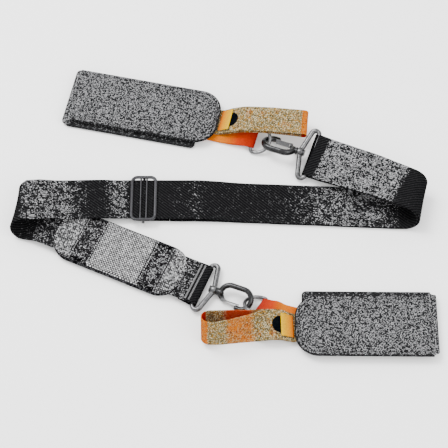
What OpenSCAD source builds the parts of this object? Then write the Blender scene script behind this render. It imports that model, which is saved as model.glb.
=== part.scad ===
// Shoulder carrying sling: a webbing strap with a sliding pad and a slider, laid out flat in a
// Z, and a swivel snap hook at each end that holds a folded hook-and-loop wrap.

/* [Strap] */
// Width of the shoulder strap webbing
strap_w = 50; // [46:1:52]
// Thickness of the shoulder strap webbing
strap_t = 1.8; // [1.4:0.1:1.9]
// Radius of the right bend, to the middle of the two layers
right_bend_r = 15; // [13:0.5:16]
// Radius of the left bend, to the middle of the webbing
left_bend_r = 14; // [12:0.5:16]

/* [Slider] */
// Length of the slider frame along the strap
slider_len = 30; // [28:1:34]
// Thickness of the slider's side bars
slider_bar_t = 2.2; // [1.8:0.1:2.6]

/* [Shoulder pad] */
// Length of the pad
pad_len = 152; // [140:1:154]
// Width of the pad
pad_w = 62; // [58:1:64]
// Thickness of the cushion under the strap
cushion_t = 6.8; // [6:0.1:6.8]
// Corner radius of the pad's ends
pad_corner_r = 25; // [15:1:28]

/* [Snap hooks] */
// Wire radius of the webbing ring
ring_wire_r = 2.5; // [2:0.1:2.6]
// Rod radius of the hook
hook_rod_r = 3; // [2.5:0.1:3.2]
// Radius of the hook's eye, to the middle of the rod
hook_eye_r = 11; // [10.5:0.5:11.5]
// Wire radius of the D-ring
dring_wire_r = 2; // [1.6:0.1:2.1]
// Radius of the D-ring's bow, to the middle of the wire
dring_bow_r = 16; // [15.5:0.5:17]

/* [Wraps] */
// Width of a wrap
wrap_w = 72; // [68:1:74]
// Length of the upper wrap's front panel
upper_front_len = 172; // [150:1:180]
// Length of the lower wrap's front panel
lower_front_len = 148; // [140:1:180]
// Corner radius of the tip of a front panel
tip_corner_r = 26; // [15:1:30]

/* [Webbing loops] */
// Width of the handle loops' webbing
handle_w = 33; // [28:1:34]
// Width of the small loops that hold the D-rings
ring_loop_w = 23; // [20:1:26]
// Thickness of the loops' webbing
loop_t = 1.4; // [1.1:0.1:1.5]

/* [Hidden] */

// The layout is drawn about a handy point, then moved so that the origin is under its middle.
layout_shift = [3.46, -18.06, 0];
UPPER = 0;
LOWER = 1;
EXACT = 48; // sides of a round piece
gap = 0.3; // air between pieces that move past each other
fit_gap = 0.05; // running clearance of a pin or shank in its bore

// ---- vectors and places ----
function unit(v) = v / norm(v);
function heading(azimuth, rise = 0) =
    [cos(rise) * cos(azimuth), cos(rise) * sin(azimuth), sin(rise)];
function roll_x(v, a) = [v.x, v.y * cos(a) - v.z * sin(a), v.y * sin(a) + v.z * cos(a)];
function pitch_y(v, a) = [v.x * cos(a) + v.z * sin(a), v.y, -v.x * sin(a) + v.z * cos(a)];
function turn_z(v, a) = [v.x * cos(a) - v.y * sin(a), v.x * sin(a) + v.y * cos(a), v.z];
// A direction or a point turned as rotate([roll, pitch, azimuth]) turns a solid
function turned(v, angles) = turn_z(pitch_y(roll_x(v, angles[0]), angles[1]), angles[2]);
function mirrored_pairs(list) = concat(list, [for (i = [len(list) - 1:-1:0]) [list[i].x, -list[i].y]]);

// ---- webbing: a flat ribbon swept through stations ----
// A station is [x, y, z, across x, across y, across z, half gap between two layers].
function station(p, azimuth, tilt = 0, half_gap = 0) =
    concat(p, heading(azimuth, tilt), [half_gap]);
function place(s) = [s[0], s[1], s[2]];
function across(s) = unit([s[3], s[4], s[5]]);
function tangent(list, i) =
    unit(place(list[min(i + 1, len(list) - 1)]) - place(list[max(i - 1, 0)]));
function normal(list, i) = unit(cross(tangent(list, i), across(list[i])));
// Catmull-Rom curve through the stations, with n steps between two of them
function smooth(s, n) = concat([for (i = [0:len(s) - 2], k = [0:n - 1])
    let (a = s[max(i - 1, 0)], b = s[i], c = s[i + 1], d = s[min(i + 2, len(s) - 1)], t = k / n)
    0.5 * (2 * b + (c - a) * t + (2 * a - 5 * b + 4 * c - d) * t * t
        + (3 * b - a - 3 * c + d) * t * t * t)], [s[len(s) - 1]]);
// The layer that lies side times the half gap away from the stations
function layer(s, side, extra = 0) = [for (i = [0:len(s) - 1])
    let (p = place(s[i]) + side * (s[i][6] + extra) * normal(s, i)) concat(p, across(s[i]), [0])];
// The turn of webbing round the bar at the last station, from one layer to the other
function fold_round(s, steps = 8) =
    let (e = len(s) - 1, n = normal(s, e), t = tangent(s, e), r = s[e][6])
    [for (k = [1:steps - 1]) let (a = 180 * k / steps)
        concat(place(s[e]) + r * (cos(a) * n + sin(a) * t), across(s[e]), [0])];
function at_run(s, d, i = 0, done = 0) =
    let (step = norm(place(s[i + 1]) - place(s[i])))
    done + step >= d || i == len(s) - 2 ? s[i] + (s[i + 1] - s[i]) * (d - done) / step
        : at_run(s, d, i + 1, done + step);
// Stations at even steps between two distances along the webbing
function span(s, from, to, n = 8) = [for (k = [0:n]) at_run(s, from + (to - from) * k / n)];
function reversed(s) = [for (i = [len(s) - 1:-1:0]) s[i]];
// Corners of the webbing at one station; w is one width, or a list with one for each station
function section(s, i, w, t) =
    let (a = across(s[i]) * (is_list(w) ? w[i] : w) / 2, n = normal(s, i) * t / 2, c = place(s[i]))
    [c + a + n, c - a + n, c - a - n, c + a - n];
module ribbon(s, w, t) {
    last = len(s) - 1;
    polyhedron(
        points = [for (i = [0:last], p = section(s, i, w, t)) p],
        faces = concat([[0, 1, 2], [0, 2, 3]],
            [[4 * last, 4 * last + 2, 4 * last + 1], [4 * last, 4 * last + 3, 4 * last + 2]],
            [for (i = [0:last - 1], k = [0:3]) let (a = 4 * i + k, b = 4 * i + (k + 1) % 4)
                each [[a, a + 4, b + 4], [a, b + 4, b]]]));
}
// A round wire through a list of points
function wire_ring(path, i, r, sides) =
    let (t = unit(path[min(i + 1, len(path) - 1)] - path[max(i - 1, 0)]),
        u = unit(cross(abs(t.z) < 0.9 ? [0, 0, 1] : [1, 0, 0], t)), v = cross(t, u))
    [for (k = [0:sides - 1]) path[i] + r * (cos(360 * k / sides) * u + sin(360 * k / sides) * v)];
module wire(path, r, sides = 8) {
    last = len(path) - 1;
    polyhedron(
        points = [for (i = [0:last], p = wire_ring(path, i, r, sides)) p],
        faces = concat([[for (k = [0:sides - 1]) k]],
            [[for (k = [sides - 1:-1:0]) last * sides + k]],
            [for (i = [0:last - 1], k = [0:sides - 1])
                let (a = i * sides + k, b = i * sides + (k + 1) % sides)
                each [[a, b + sides, b], [a, a + sides, b + sides]]]));
}
// A row of stitches from a to b, lying on the surface at height z
module stitch_row(a, b, z, pitch = 4, stitch = 2.6, thread = 0.5) {
    run = norm(b - a);
    for (k = [0:floor(run / pitch) - 1])
        translate(concat(a + (b - a) * (k + 0.5) * pitch / run, [z]))
            rotate([0, 0, atan2(b.y - a.y, b.x - a.x)])
                translate([-stitch / 2, -thread / 2, 0]) cube([stitch, thread, thread]);
}
// Sewn box of length l and width w, from x = 0
module stitch_box(l, w, z) {
    for (side = [-1, 1]) stitch_row([0, side * w / 2], [l, side * w / 2], z);
    for (x = [0, l]) stitch_row([x, -w / 2 + 1.5], [x, w / 2 - 1.5], z);
}

// ---- metal rod bent in a plane ----
module rod(a, b, r) {
    translate([a.x, a.y, 0]) rotate([0, 90, atan2(b.y - a.y, b.x - a.x)])
        cylinder(h = norm(b - a), r = r, $fn = EXACT);
}
module bend(centre, bend_r, start, turn, r) {
    translate([centre.x, centre.y, 0]) rotate([0, 0, turn < 0 ? start + turn : start])
        rotate_extrude(angle = abs(turn), $fn = 96) translate([bend_r, 0]) circle(r = r, $fn = EXACT);
}

// ---- where each end of the sling lies ----
bar_fold_r = ring_wire_r + gap + strap_t / 2;
dring_fold_r = dring_wire_r + gap + loop_t / 2;
// Middle of the bar of each webbing ring
ring_at = [[100, 81.5, 14], [-24.5, -80.6, 4.8]];
// Azimuth and fall of each swivel axis, pointing from the strap to the wrap
swivel_azimuth = [158, -23];
swivel_fall = [3.3, -4.6];
ring_roll = [-18, 0];
hook_roll = 26;
dring_roll = -29;
// Tip of each wrap's front panel, and azimuth of the wrap from the tip to its fold
wrap_tip = [[-5.8, 133], [75.4, -130.5]];
wrap_azimuth = [168, -0.5];
front_len = [upper_front_len, lower_front_len];
back_len = [upper_front_len - 21, lower_front_len - 8];
back_shift = [4, 9]; // sideways, so that the back panel shows past the front panel's edge
// Direction of each ring's bar
function bar_way(end) = turned([0, 1, 0], [ring_roll[end], swivel_fall[end], swivel_azimuth[end]]);
module ring_place(end) {
    translate(ring_at[end]) rotate([ring_roll[end], swivel_fall[end], swivel_azimuth[end]]) children();
}
module hook_place(end) {
    translate(ring_at[end]) rotate([hook_roll, swivel_fall[end], swivel_azimuth[end]]) children();
}
module dring_place(end) {
    translate(ring_at[end]) rotate([dring_roll, swivel_fall[end], swivel_azimuth[end]]) children();
}
module wrap_place(end) {
    translate(wrap_tip[end]) rotate([0, 0, wrap_azimuth[end]]) children();
}

// ---- shoulder strap ----
// One bend: bottom to top round an axis that lies at axis_azimuth, with the strap crossing it askew
function strap_bend(centre, r, outward, skew, half_gap) =
    let (d = heading(outward), side = outward > 90 ? -90 : 90, a = heading(outward + side),
        drift = PI * r * tan(skew))
    [for (t = [-90:15:90]) let (run = -sin(t) * d + [0, 0, cos(t)])
        concat(centre + r * (cos(t) * d + [0, 0, sin(t)]) + drift * t / 180 * a,
            cos(skew) * a - sin(skew) * run, [half_gap])];
layer_gap = strap_t / 2 + 0.55; // half the distance between the middles of two stacked layers
lower_azimuth = 156;
pad_strap_z = cushion_t + 0.4 + strap_t / 2; // height of the middle of the strap in the pad
lap_len = 17; // length of webbing sewn back under itself at the lower ring
// Point on the lower run, this far from the ring's bar
function lower_point(s, z) = [ring_at[LOWER].x, ring_at[LOWER].y, z] + s * heading(lower_azimuth);
end_core = smooth([
    station(lower_point(lap_len, pad_strap_z - layer_gap), 67, 0, layer_gap),
    station(lower_point(8, pad_strap_z - 2.4), 67, 0, 2.6),
    concat(ring_at[LOWER], bar_way(LOWER), [bar_fold_r])], 3);
left_bend = strap_bend([-217, 8.5, strap_t / 2 + 1.3 + left_bend_r], left_bend_r, 172, 14, 0);
lower_run = smooth([
    station(lower_point(26, pad_strap_z), 66.5),
    station(lower_point(60, pad_strap_z), 66),
    station(lower_point(140, pad_strap_z), 66),
    station(lower_point(186, pad_strap_z), 67),
    station(lower_point(198, 5), 70)], 3);
slider_at = [-90, 27.8];
slider_strap_z = 7.4; // height of the middle of the strap through the slider
return_z = 1.1; // height of the middle of the return layer on the floor
pair_z = return_z + layer_gap;
spread_z = (slider_strap_z + return_z) / 2;
spread_gap = (slider_strap_z - return_z) / 2;
middle_run = smooth([
    station([-200, 18.6, 24.5], 97),
    station([-184, 21.6, 17], 95),
    station([-160, 24.6, 12.7], 92.5),
    station([-138, 26, 11.7], 91.5),
    station([-119, 27.4, 7.8], 90.8),
    station([-104, slider_at.y, slider_strap_z], 90),
    station([-60, slider_at.y, slider_strap_z], 90)], 3);
double_core = concat(
    smooth([
        station([-58, slider_at.y, spread_z], 90, 0, spread_gap),
        station([-32, 27.7, spread_z], 89.4, 0, spread_gap),
        station([-8, 27, pair_z + 1.2], 88.6, 0, layer_gap + 1.2),
        station([16, 26, pair_z], 88, 0, layer_gap),
        station([70, 23.6, pair_z], 87.5, 0, layer_gap),
        station([130, 20.8, pair_z], 87.4, 0, layer_gap),
        station([184, 18.2, pair_z], 87.4, 0, layer_gap)], 3),
    strap_bend([205, 21.6, pair_z + 0.8 + right_bend_r], right_bend_r, -13, 10.5, layer_gap),
    smooth([
        station([186, 36, 31.8], 66.4, 1, layer_gap),
        station([161, 48.8, 28.4], 66.8, 6, layer_gap),
        station([136, 61.8, 22.6], 67.3, 12, layer_gap),
        station([116, 72.6, 17.4], 67.8, 16, layer_gap + 1),
        concat(ring_at[UPPER], -bar_way(UPPER), [bar_fold_r])], 4));

module shoulder_strap() {
    color("#26272a") translate(layout_shift) ribbon(concat(
        layer(end_core, -1), reversed(fold_round(end_core)), reversed(layer(end_core, 1)),
        lower_run, left_bend, middle_run,
        layer(double_core, 1), fold_round(double_core)), strap_w, strap_t);
}
module strap_return_layer() {
    color("#2b2c2f") translate(layout_shift) ribbon(layer(double_core, -1), strap_w, strap_t);
}
module strap_end_stitching() {
    color("#4a4b4f") translate(layout_shift) translate(lower_point(2, 0)) rotate([0, 0, lower_azimuth])
        for (x = [12, 15]) stitch_row([x, -23], [x, 23], pad_strap_z + strap_t / 2 + 0.1);
}

// ---- slider ----
slider_bar_r = 1.2; // centre bar
slider_bar_z = 3.3;
slider_h = strap_w + 8; // across the strap
slider_rail_w = 3.2;
slider_side_w = 3.6;
slider_lug_w = 3.4; // holds the centre bar under each rail
slider_side_z = slider_strap_z + strap_t / 2 + gap; // underside of the side bars
slider_wrap_r = slider_bar_r + 0.1 + loop_t / 2;
module slider_outline(h, w, cut) {
    polygon(mirrored_pairs([[-w / 2, h / 2 - cut], [-w / 2 + cut, h / 2], [w / 2 - cut, h / 2],
        [w / 2, h / 2 - cut]]));
}
module slider_frame() {
    top = slider_side_z + slider_bar_t;
    color("#3c3d40") translate(layout_shift) translate(slider_at) {
        difference() {
            translate([0, 0, slider_side_z]) linear_extrude(slider_bar_t)
                slider_outline(slider_h, slider_len, 4);
            translate([0, 0, slider_side_z + slider_bar_t / 2]) cube([slider_len - 2 * slider_side_w,
                slider_h - 2 * slider_rail_w, slider_bar_t + 1], center = true);
        }
        for (side = [-1, 1]) {
            translate([-slider_lug_w / 2, side > 0 ? slider_h / 2 - slider_rail_w : -slider_h / 2,
                slider_bar_z - slider_bar_r])
                cube([slider_lug_w, slider_rail_w, slider_side_z - slider_bar_z + slider_bar_r]);
        }
        translate([0, slider_h / 2 - slider_rail_w + 0.01, slider_bar_z]) rotate([90, 0, 0])
            cylinder(h = slider_h - 2 * slider_rail_w + 0.02, r = slider_bar_r, $fn = EXACT);
    }
}
sewn_core = smooth([
    station([slider_at.x + 29, slider_at.y, loop_t + 0.6], 90, 0, loop_t / 2 + 0.1),
    station([slider_at.x + 12, slider_at.y, loop_t + 0.7], 90, 0, loop_t / 2 + 0.2),
    station([slider_at.x + 5, slider_at.y, slider_bar_z - 0.4], 90, 0, slider_wrap_r - 0.2),
    station([slider_at.x, slider_at.y, slider_bar_z], 90, 0, slider_wrap_r)], 3);
module slider_sewn_end() {
    color("#232427") translate(layout_shift) ribbon(concat(layer(sewn_core, 1), fold_round(sewn_core),
        reversed(layer(sewn_core, -1))), strap_w - 1, loop_t);
}
module slider_stitching() {
    color("#4a4b4f") translate(layout_shift) translate(slider_at)
        for (x = [16, 26]) stitch_row([x, -22], [x, 22], 2 * loop_t + 0.85);
}

// ---- shoulder pad ----
// A plate outline of length l and width w about the middle, with corners of radius r at both ends
function corner(cx, cy, r, from, to, steps = 8) =
    [for (k = [0:steps]) let (a = from + (to - from) * k / steps) [cx + r * cos(a), cy + r * sin(a)]];
function pad_outline(inset) =
    let (x = pad_len / 2 - inset, y = pad_w / 2 - inset, r = pad_corner_r - inset)
    mirrored_pairs(concat(corner(-x + r, y - r, r, 180, 90), corner(x - r, y - r, r, 90, 0)));
pad_mid = 98; // from the lower ring's bar
pad_tunnel_h = strap_t + 0.8;
pad_cover_t = 1;
pad_top = cushion_t + pad_tunnel_h + pad_cover_t;
binding_t = 2;
left_cap_len = 28;
right_cap_len = 23;
sleeve_len = 62;
window_len = 20;
module pad_place() {
    translate(lower_point(pad_mid, 0)) rotate([0, 0, lower_azimuth]) children();
}
// Mesh cover over the strap between two places along the pad, open where the strap runs through
module pad_cover(from, to) {
    color("#57585c") translate(layout_shift) pad_place() difference() {
        intersection() {
            translate([0, 0, cushion_t]) linear_extrude(pad_tunnel_h + pad_cover_t) polygon(pad_outline(0));
            translate([from, -pad_w / 2, 0]) cube([to - from, pad_w, pad_top]);
        }
        translate([from - 1, -strap_w / 2 - 0.5, cushion_t - 1])
            cube([to - from + 2, strap_w + 1, pad_tunnel_h + 1]);
    }
}
module pad_cushion() {
    color("#3a3b3e") translate(layout_shift) pad_place() linear_extrude(cushion_t) polygon(pad_outline(binding_t));
}
module pad_binding() {
    color("#2a2b2e") translate(layout_shift) pad_place() translate([0, 0, 1]) linear_extrude(cushion_t - 1) difference() {
        polygon(pad_outline(0));
        polygon(pad_outline(binding_t));
    }
}
module pad_left_cap() { pad_cover(pad_len / 2 - left_cap_len, pad_len / 2); }
module pad_right_cap() { pad_cover(-pad_len / 2, -pad_len / 2 + right_cap_len); }
module pad_sleeve() {
    start = pad_len / 2 - left_cap_len - window_len;
    pad_cover(start - sleeve_len, start);
}

// ---- snap hooks: x along the swivel axis, from the bar of the webbing ring ----
boss_at = 14.5;
boss_len = 6;
boss_r = 4.6;
shank_r = 2;
rivet_t = 1.6;
ring_corner_r = 4.5;
ring_bar = strap_w / 2 + 1 - 1.5; // half the straight part of the bar
side_slope = 14; // between the ring's sides and its bar
neck_x = 22.5;
crown_x = 47;
nose_turn = -195;
pin_r = 0.8;
pin_at = [27.5, -6.5];
lug_t = 1.8;
gate_len = 18.5;
gate_h = 5.6;
cheek_t = 0.8;
// One wire: from the boss up one side, round the bar and back down the other side
function ring_path(r = ring_corner_r) =
    let (half = concat([[r + r * cos(side_slope) + (ring_bar - 3.2) * tan(side_slope), 3.2]],
        corner(r, ring_bar, r, side_slope, 180)))
    [for (p = concat(half, [for (i = [len(half) - 1:-1:0]) [half[i].x, -half[i].y]])) [p.x, p.y, 0]];
module webbing_ring(end) {
    color("#55565a") translate(layout_shift) ring_place(end) {
        wire(ring_path(), ring_wire_r, 16);
        translate([boss_at - boss_len / 2, 0, 0]) rotate([0, 90, 0]) difference() {
            cylinder(h = boss_len, r = boss_r, $fn = EXACT);
            translate([0, 0, -1]) cylinder(h = boss_len + 2, r = shank_r + fit_gap, $fn = EXACT);
        }
    }
}
module swivel_rivet(end) {
    color("#6a6b6f") translate(layout_shift) hook_place(end) translate([boss_at - boss_len / 2 - gap - rivet_t, 0, 0])
        rotate([0, 90, 0]) difference() {
            cylinder(h = rivet_t, r = boss_r - 0.8, $fn = EXACT);
            translate([0, 0, -1]) cylinder(h = rivet_t + 2, r = shank_r, $fn = EXACT);
        }
}
module hook(end) {
    eye = hook_eye_r;
    shank_x = boss_at - boss_len / 2 - gap - rivet_t;
    collar_x = boss_at + boss_len / 2 + gap;
    color("#4c4d51") translate(layout_shift) hook_place(end) difference() {
        union() {
            translate([shank_x, 0, 0]) rotate([0, 90, 0])
                cylinder(h = collar_x - shank_x + 1, r = shank_r, $fn = EXACT);
            translate([collar_x, 0, 0]) rotate([0, 90, 0])
                cylinder(h = neck_x - collar_x + 1, r = boss_r - 0.4, $fn = EXACT);
            wire([for (p = concat(corner(neck_x + eye, 0, eye, 180, 90, 6),
                corner(crown_x, 0, eye, 90, 90 + nose_turn, 15))) [p.x, p.y, 0]], hook_rod_r, 16);
            translate([neck_x - 0.7, 0, 0]) sphere(r = boss_r, $fn = EXACT);
            translate([0, 0, -lug_t / 2 - 0.6]) linear_extrude(lug_t)
                polygon([[neck_x - 2, 1], [neck_x - 3, -3.6], [pin_at.x - 1, pin_at.y - 2.4],
                    [pin_at.x + 1.4, pin_at.y - 1.8], [pin_at.x + 1.6, pin_at.y + 1.4], [neck_x + 2, 1]]);
        }
        translate([pin_at.x, pin_at.y, -5]) cylinder(h = 10, r = pin_r, $fn = EXACT);
    }
}
module gate_pin(end) {
    color("#77787c") translate(layout_shift) hook_place(end) translate([pin_at.x, pin_at.y, -gate_h / 2 - 0.3])
        cylinder(h = gate_h + 0.6, r = pin_r, $fn = EXACT);
}
module gate(end) {
    color("#85868a") translate(layout_shift) hook_place(end) translate([pin_at.x, pin_at.y, -gate_h / 2]) difference() {
        union() {
            translate([2.6, -0.9, 0]) cube([gate_len - 2.6, 1.3, gate_h]);
            for (z = [0, gate_h - cheek_t]) translate([0, 0, z]) linear_extrude(cheek_t)
                polygon(concat(corner(0, 0, 1.8, 90, 270), [[4, -0.9], [4, 0.4]]));
        }
        for (z = [-1, gate_h - cheek_t - 1]) translate([0, 0, z])
            cylinder(h = cheek_t + 2, r = pin_r + fit_gap, $fn = EXACT);
    }
}
// Torsion spring round the gate's pin, with one leg on the neck
module gate_spring(end) {
    wire_r = 0.24;
    coil_r = 1.35;
    turns = 2;
    low = lug_t / 2 - 0.6 + 0.3;
    coil = [for (k = [0:16 * turns]) let (a = 150 + 22.5 * k)
        [pin_at.x + coil_r * cos(a), pin_at.y + coil_r * sin(a), low + 0.54 * k / 16]];
    color("#9a9b9f") translate(layout_shift) hook_place(end)
        wire(concat([[pin_at.x - 4.6, pin_at.y + 3.0, low]], coil), wire_r, 6);
}
dring_x = crown_x + hook_eye_r - hook_rod_r - dring_wire_r - 0.9 + dring_bow_r;
dring_corner_r = 3;
dring_bar_x = dring_x + dring_corner_r;
module dring(end) {
    leg = dring_bow_r;
    c = dring_corner_r;
    color("#8b8c90") translate(layout_shift) dring_place(end) {
        bend([dring_x, 0], leg, 90, 180, dring_wire_r);
        for (s = [0, 1]) mirror([0, s, 0]) bend([dring_x, leg - c], c, 90, -90, dring_wire_r);
        rod([dring_bar_x, c - leg], [dring_bar_x, leg - c], dring_wire_r);
    }
}

// ---- wraps: x from the front panel's tip to the fold ----
panel_t = 4.6; // cover, padding and lining together
cover_t = 1;
tape_t = 1; // hook tape and loop patch
tape_air = 0.4;
edge_t = 1.6; // binding round the edge
front_z = panel_t + 2 * tape_t + tape_air;
fold_z = front_z / 2 + panel_t / 2;
function front_outline(end, inset) =
    let (x = front_len[end] - gap - inset, y = wrap_w / 2 - inset, r = tip_corner_r - inset)
    mirrored_pairs(concat(corner(inset + r, y - r, r, 180, 90), [[x, y]]));
function back_outline(end, inset) =
    let (x = front_len[end] - gap - inset, x0 = front_len[end] - back_len[end] + inset,
        y = wrap_w / 2 - inset, r = 4)
    mirrored_pairs(concat(corner(x0 + r, y - r, r, 180, 90, 4), [[x, y]]));
module slab(z, t) { translate([0, 0, z]) linear_extrude(t) children(); }
module front_cover(end) {
    color("#3b3c40") translate(layout_shift) wrap_place(end) slab(front_z + panel_t - cover_t, cover_t)
        polygon(front_outline(end, edge_t));
}
module front_padding(end) {
    color("#222326") translate(layout_shift) wrap_place(end) slab(front_z, panel_t - cover_t) polygon(front_outline(end, edge_t));
}
module front_binding(end) {
    color("#1e1f22") translate(layout_shift) wrap_place(end) slab(front_z, panel_t) difference() {
        polygon(front_outline(end, 0));
        polygon(front_outline(end, edge_t));
    }
}
patch_start = 40; // from the tip, clear of the sewn loops
module loop_patch(end) {
    color("#2d2e31") translate(layout_shift) wrap_place(end) slab(front_z - tape_t, tape_t)
        translate([patch_start, -wrap_w / 2 + 8]) square([front_len[end] - patch_start - 10, wrap_w - 16]);
}
module back_place(end) {
    wrap_place(end) translate([0, back_shift[end], 0]) children();
}
module back_cover(end) {
    color("#33343a") translate(layout_shift) back_place(end) slab(0, cover_t) polygon(back_outline(end, edge_t));
}
module back_padding(end) {
    color("#222326") translate(layout_shift) back_place(end) slab(cover_t, panel_t - cover_t)
        polygon(back_outline(end, edge_t));
}
module back_binding(end) {
    color("#1e1f22") translate(layout_shift) back_place(end) slab(0, panel_t) difference() {
        polygon(back_outline(end, 0));
        polygon(back_outline(end, edge_t));
    }
}
module hook_tape(end) {
    start = front_len[end] - back_len[end] + 12;
    color("#18191b") translate(layout_shift) back_place(end) slab(panel_t, tape_t)
        translate([start, -wrap_w / 2 + 10]) square([front_len[end] - start - 14, wrap_w - 20]);
}
// Soft hinge between the panels
module fold(end) {
    r = fold_z;
    color("#2f3034") translate(layout_shift) wrap_place(end) translate([front_len[end], wrap_w / 2 - 3, fold_z]) rotate([90, 0, 0])
        difference() {
            cylinder(h = wrap_w - 6, r = r, $fn = EXACT);
            translate([0, 0, -1]) cylinder(h = wrap_w, r = r - panel_t, $fn = EXACT);
            translate([-r - 1, -r - 1, -1]) cube([r + 1, 2 * r + 2, wrap_w]);
        }
}

// ---- webbing loops sewn under the tip of each front panel ----
function wrap_point(end, p) =
    let (q = turned([p.x, p.y, 0], [0, 0, wrap_azimuth[end]]))
    [wrap_tip[end].x + q.x, wrap_tip[end].y + q.y, p.z];
stacked_gap = loop_t / 2 + 0.1;
root_len = [18, 3]; // how far the loops are sewn in behind the tip
ring_loop_z = 1.8;
handle_root_z = 5.15;
ring_loop_side = [12, 13]; // where the small loop is sewn, to one side of the tip
function ring_loop_core(end) =
    let (angles = [dring_roll, swivel_fall[end], swivel_azimuth[end]],
        bar = ring_at[end] + turned([dring_bar_x, 0, 0], angles),
        root = wrap_point(end, [root_len[end], ring_loop_side[end], ring_loop_z]),
        way = unit([bar.x - root.x, bar.y - root.y, 0]), side = atan2(way.y, way.x) + 90,
        dring_way = -turned([0, 1, 0], angles))
    smooth([
        station(root, side, 0, stacked_gap),
        station(root + (root_len[end] + 2) * way, side, 0, stacked_gap),
        station(root + (root_len[end] + 12) * way + [0, 0, 1], side, 2, stacked_gap + 0.3),
        concat(bar - 12 * way - [0, 0, 0.2], dring_way, [dring_fold_r - 0.6]),
        concat(bar, dring_way, [dring_fold_r])], 5);
// Middle line of each handle loop, from its sewn root to its free end
handle_core = [
    smooth([
        station([-24, 136.6, handle_root_z], 78, 0, stacked_gap),
        station([-14, 134.6, handle_root_z], 78, 0, stacked_gap),
        station([-4, 132.4, handle_root_z + 0.2], 78.6, 0, stacked_gap),
        station([3, 130.6, 9.4], 79.6, 0, 1.2),
        station([11, 128.2, 15.4], 81, 0, 1.6),
        station([25, 125.4, 22.4], 83, 0, 1.8),
        station([46, 123.2, 24.2], 84, 0, 2),
        station([70, 121.4, 23.4], 84.5, 0, 2.5),
        station([92, 119.6, 21.6], 85, 0, 3.2)], 5),
    smooth([
        station([82.2, -131.4, handle_root_z], 269.5, 0, stacked_gap),
        station([74, -131.5, handle_root_z + 0.1], 269.5, 0, stacked_gap),
        station([67.5, -131.7, 8.6], 270, -4, 1.2),
        station([59, -132, 13.6], 270, -12, 1.8),
        station([46, -133.4, 16.6], 270, -30, 3),
        station([30, -135.2, 17.6], 270, -50, 5),
        station([12, -136.6, 18.7], 270, -62, 7.4),
        station([-6, -138, 19.3], 270, -68, 9),
        station([-15, -138.2, 19.4], 270, -70, 9.2)], 5)];
tab_t = 0.6;
tab_from = [22, 9.5];
tab_len = [15.5, 16];
tab_w = [27, 25];
disc_t = 0.5;
disc_r = 9;
function closed_loop(core) = concat(layer(core, -1), reversed(fold_round(core)), reversed(layer(core, 1)));
module ring_loop(end) {
    color("#e8641e") translate(layout_shift) ribbon(closed_loop(ring_loop_core(end)), ring_loop_w, loop_t);
}
module handle_loop(end) {
    color("#f0922e") translate(layout_shift) ribbon(closed_loop(handle_core[end]), handle_w, loop_t);
}
module tab(end) {
    lift = loop_t / 2 + disc_t + tab_t / 2 + 0.85;
    color("#ffc400") translate(layout_shift) ribbon(layer(span(handle_core[end], tab_from[end], tab_from[end] + tab_len[end]),
        1, lift), tab_w[end], tab_t);
}
module round_patch(end) {
    mid = tab_from[end] + tab_len[end];
    reach = disc_r - 0.2;
    steps = 16;
    widths = [for (k = [0:steps]) 2 * sqrt(disc_r * disc_r - pow(reach * (2 * k / steps - 1), 2))];
    color("#1a2026") translate(layout_shift) ribbon(layer(span(handle_core[end], mid - reach, mid + reach, steps), 1,
        loop_t / 2 + disc_t / 2 + 0.5), widths, disc_t);
}
module tip_stitching(end) {
    color("#55565b") translate(layout_shift) wrap_place(end) translate([6, 0, 0]) stitch_box(24, 30, front_z + panel_t + 0.1);
}

shoulder_strap();
strap_return_layer();
strap_end_stitching();
slider_frame();
slider_sewn_end();
slider_stitching();
pad_cushion();
pad_binding();
pad_left_cap();
pad_right_cap();
pad_sleeve();
webbing_ring(UPPER);  // upper_webbing_ring
hook(UPPER);  // upper_hook
swivel_rivet(UPPER);  // upper_swivel_rivet
gate(UPPER);  // upper_gate
gate_pin(UPPER);  // upper_gate_pin
gate_spring(UPPER);  // upper_gate_spring
dring(UPPER);  // upper_dring
front_cover(UPPER);  // upper_front_cover
front_padding(UPPER);  // upper_front_padding
loop_patch(UPPER);  // upper_loop_patch
front_binding(UPPER);  // upper_front_binding
handle_loop(UPPER);  // upper_handle_loop
ring_loop(UPPER);  // upper_ring_loop
tab(UPPER);  // upper_tab
round_patch(UPPER);  // upper_round_patch
tip_stitching(UPPER);  // upper_tip_stitching
fold(UPPER);  // upper_fold
back_cover(UPPER);  // upper_back_cover
back_padding(UPPER);  // upper_back_padding
hook_tape(UPPER);  // upper_hook_tape
back_binding(UPPER);  // upper_back_binding
webbing_ring(LOWER);  // lower_webbing_ring
hook(LOWER);  // lower_hook
swivel_rivet(LOWER);  // lower_swivel_rivet
gate(LOWER);  // lower_gate
gate_pin(LOWER);  // lower_gate_pin
gate_spring(LOWER);  // lower_gate_spring
dring(LOWER);  // lower_dring
front_cover(LOWER);  // lower_front_cover
front_padding(LOWER);  // lower_front_padding
loop_patch(LOWER);  // lower_loop_patch
front_binding(LOWER);  // lower_front_binding
handle_loop(LOWER);  // lower_handle_loop
ring_loop(LOWER);  // lower_ring_loop
tab(LOWER);  // lower_tab
round_patch(LOWER);  // lower_round_patch
tip_stitching(LOWER);  // lower_tip_stitching
fold(LOWER);  // lower_fold
back_cover(LOWER);  // lower_back_cover
back_padding(LOWER);  // lower_back_padding
hook_tape(LOWER);  // lower_hook_tape
back_binding(LOWER);  // lower_back_binding
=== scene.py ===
"""A padded shoulder carrying sling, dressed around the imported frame.

Lengths are in millimetres in the layout's own frame until add_mesh() turns them into metres in
the row's frame. Angles are in degrees.
"""

import math

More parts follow.
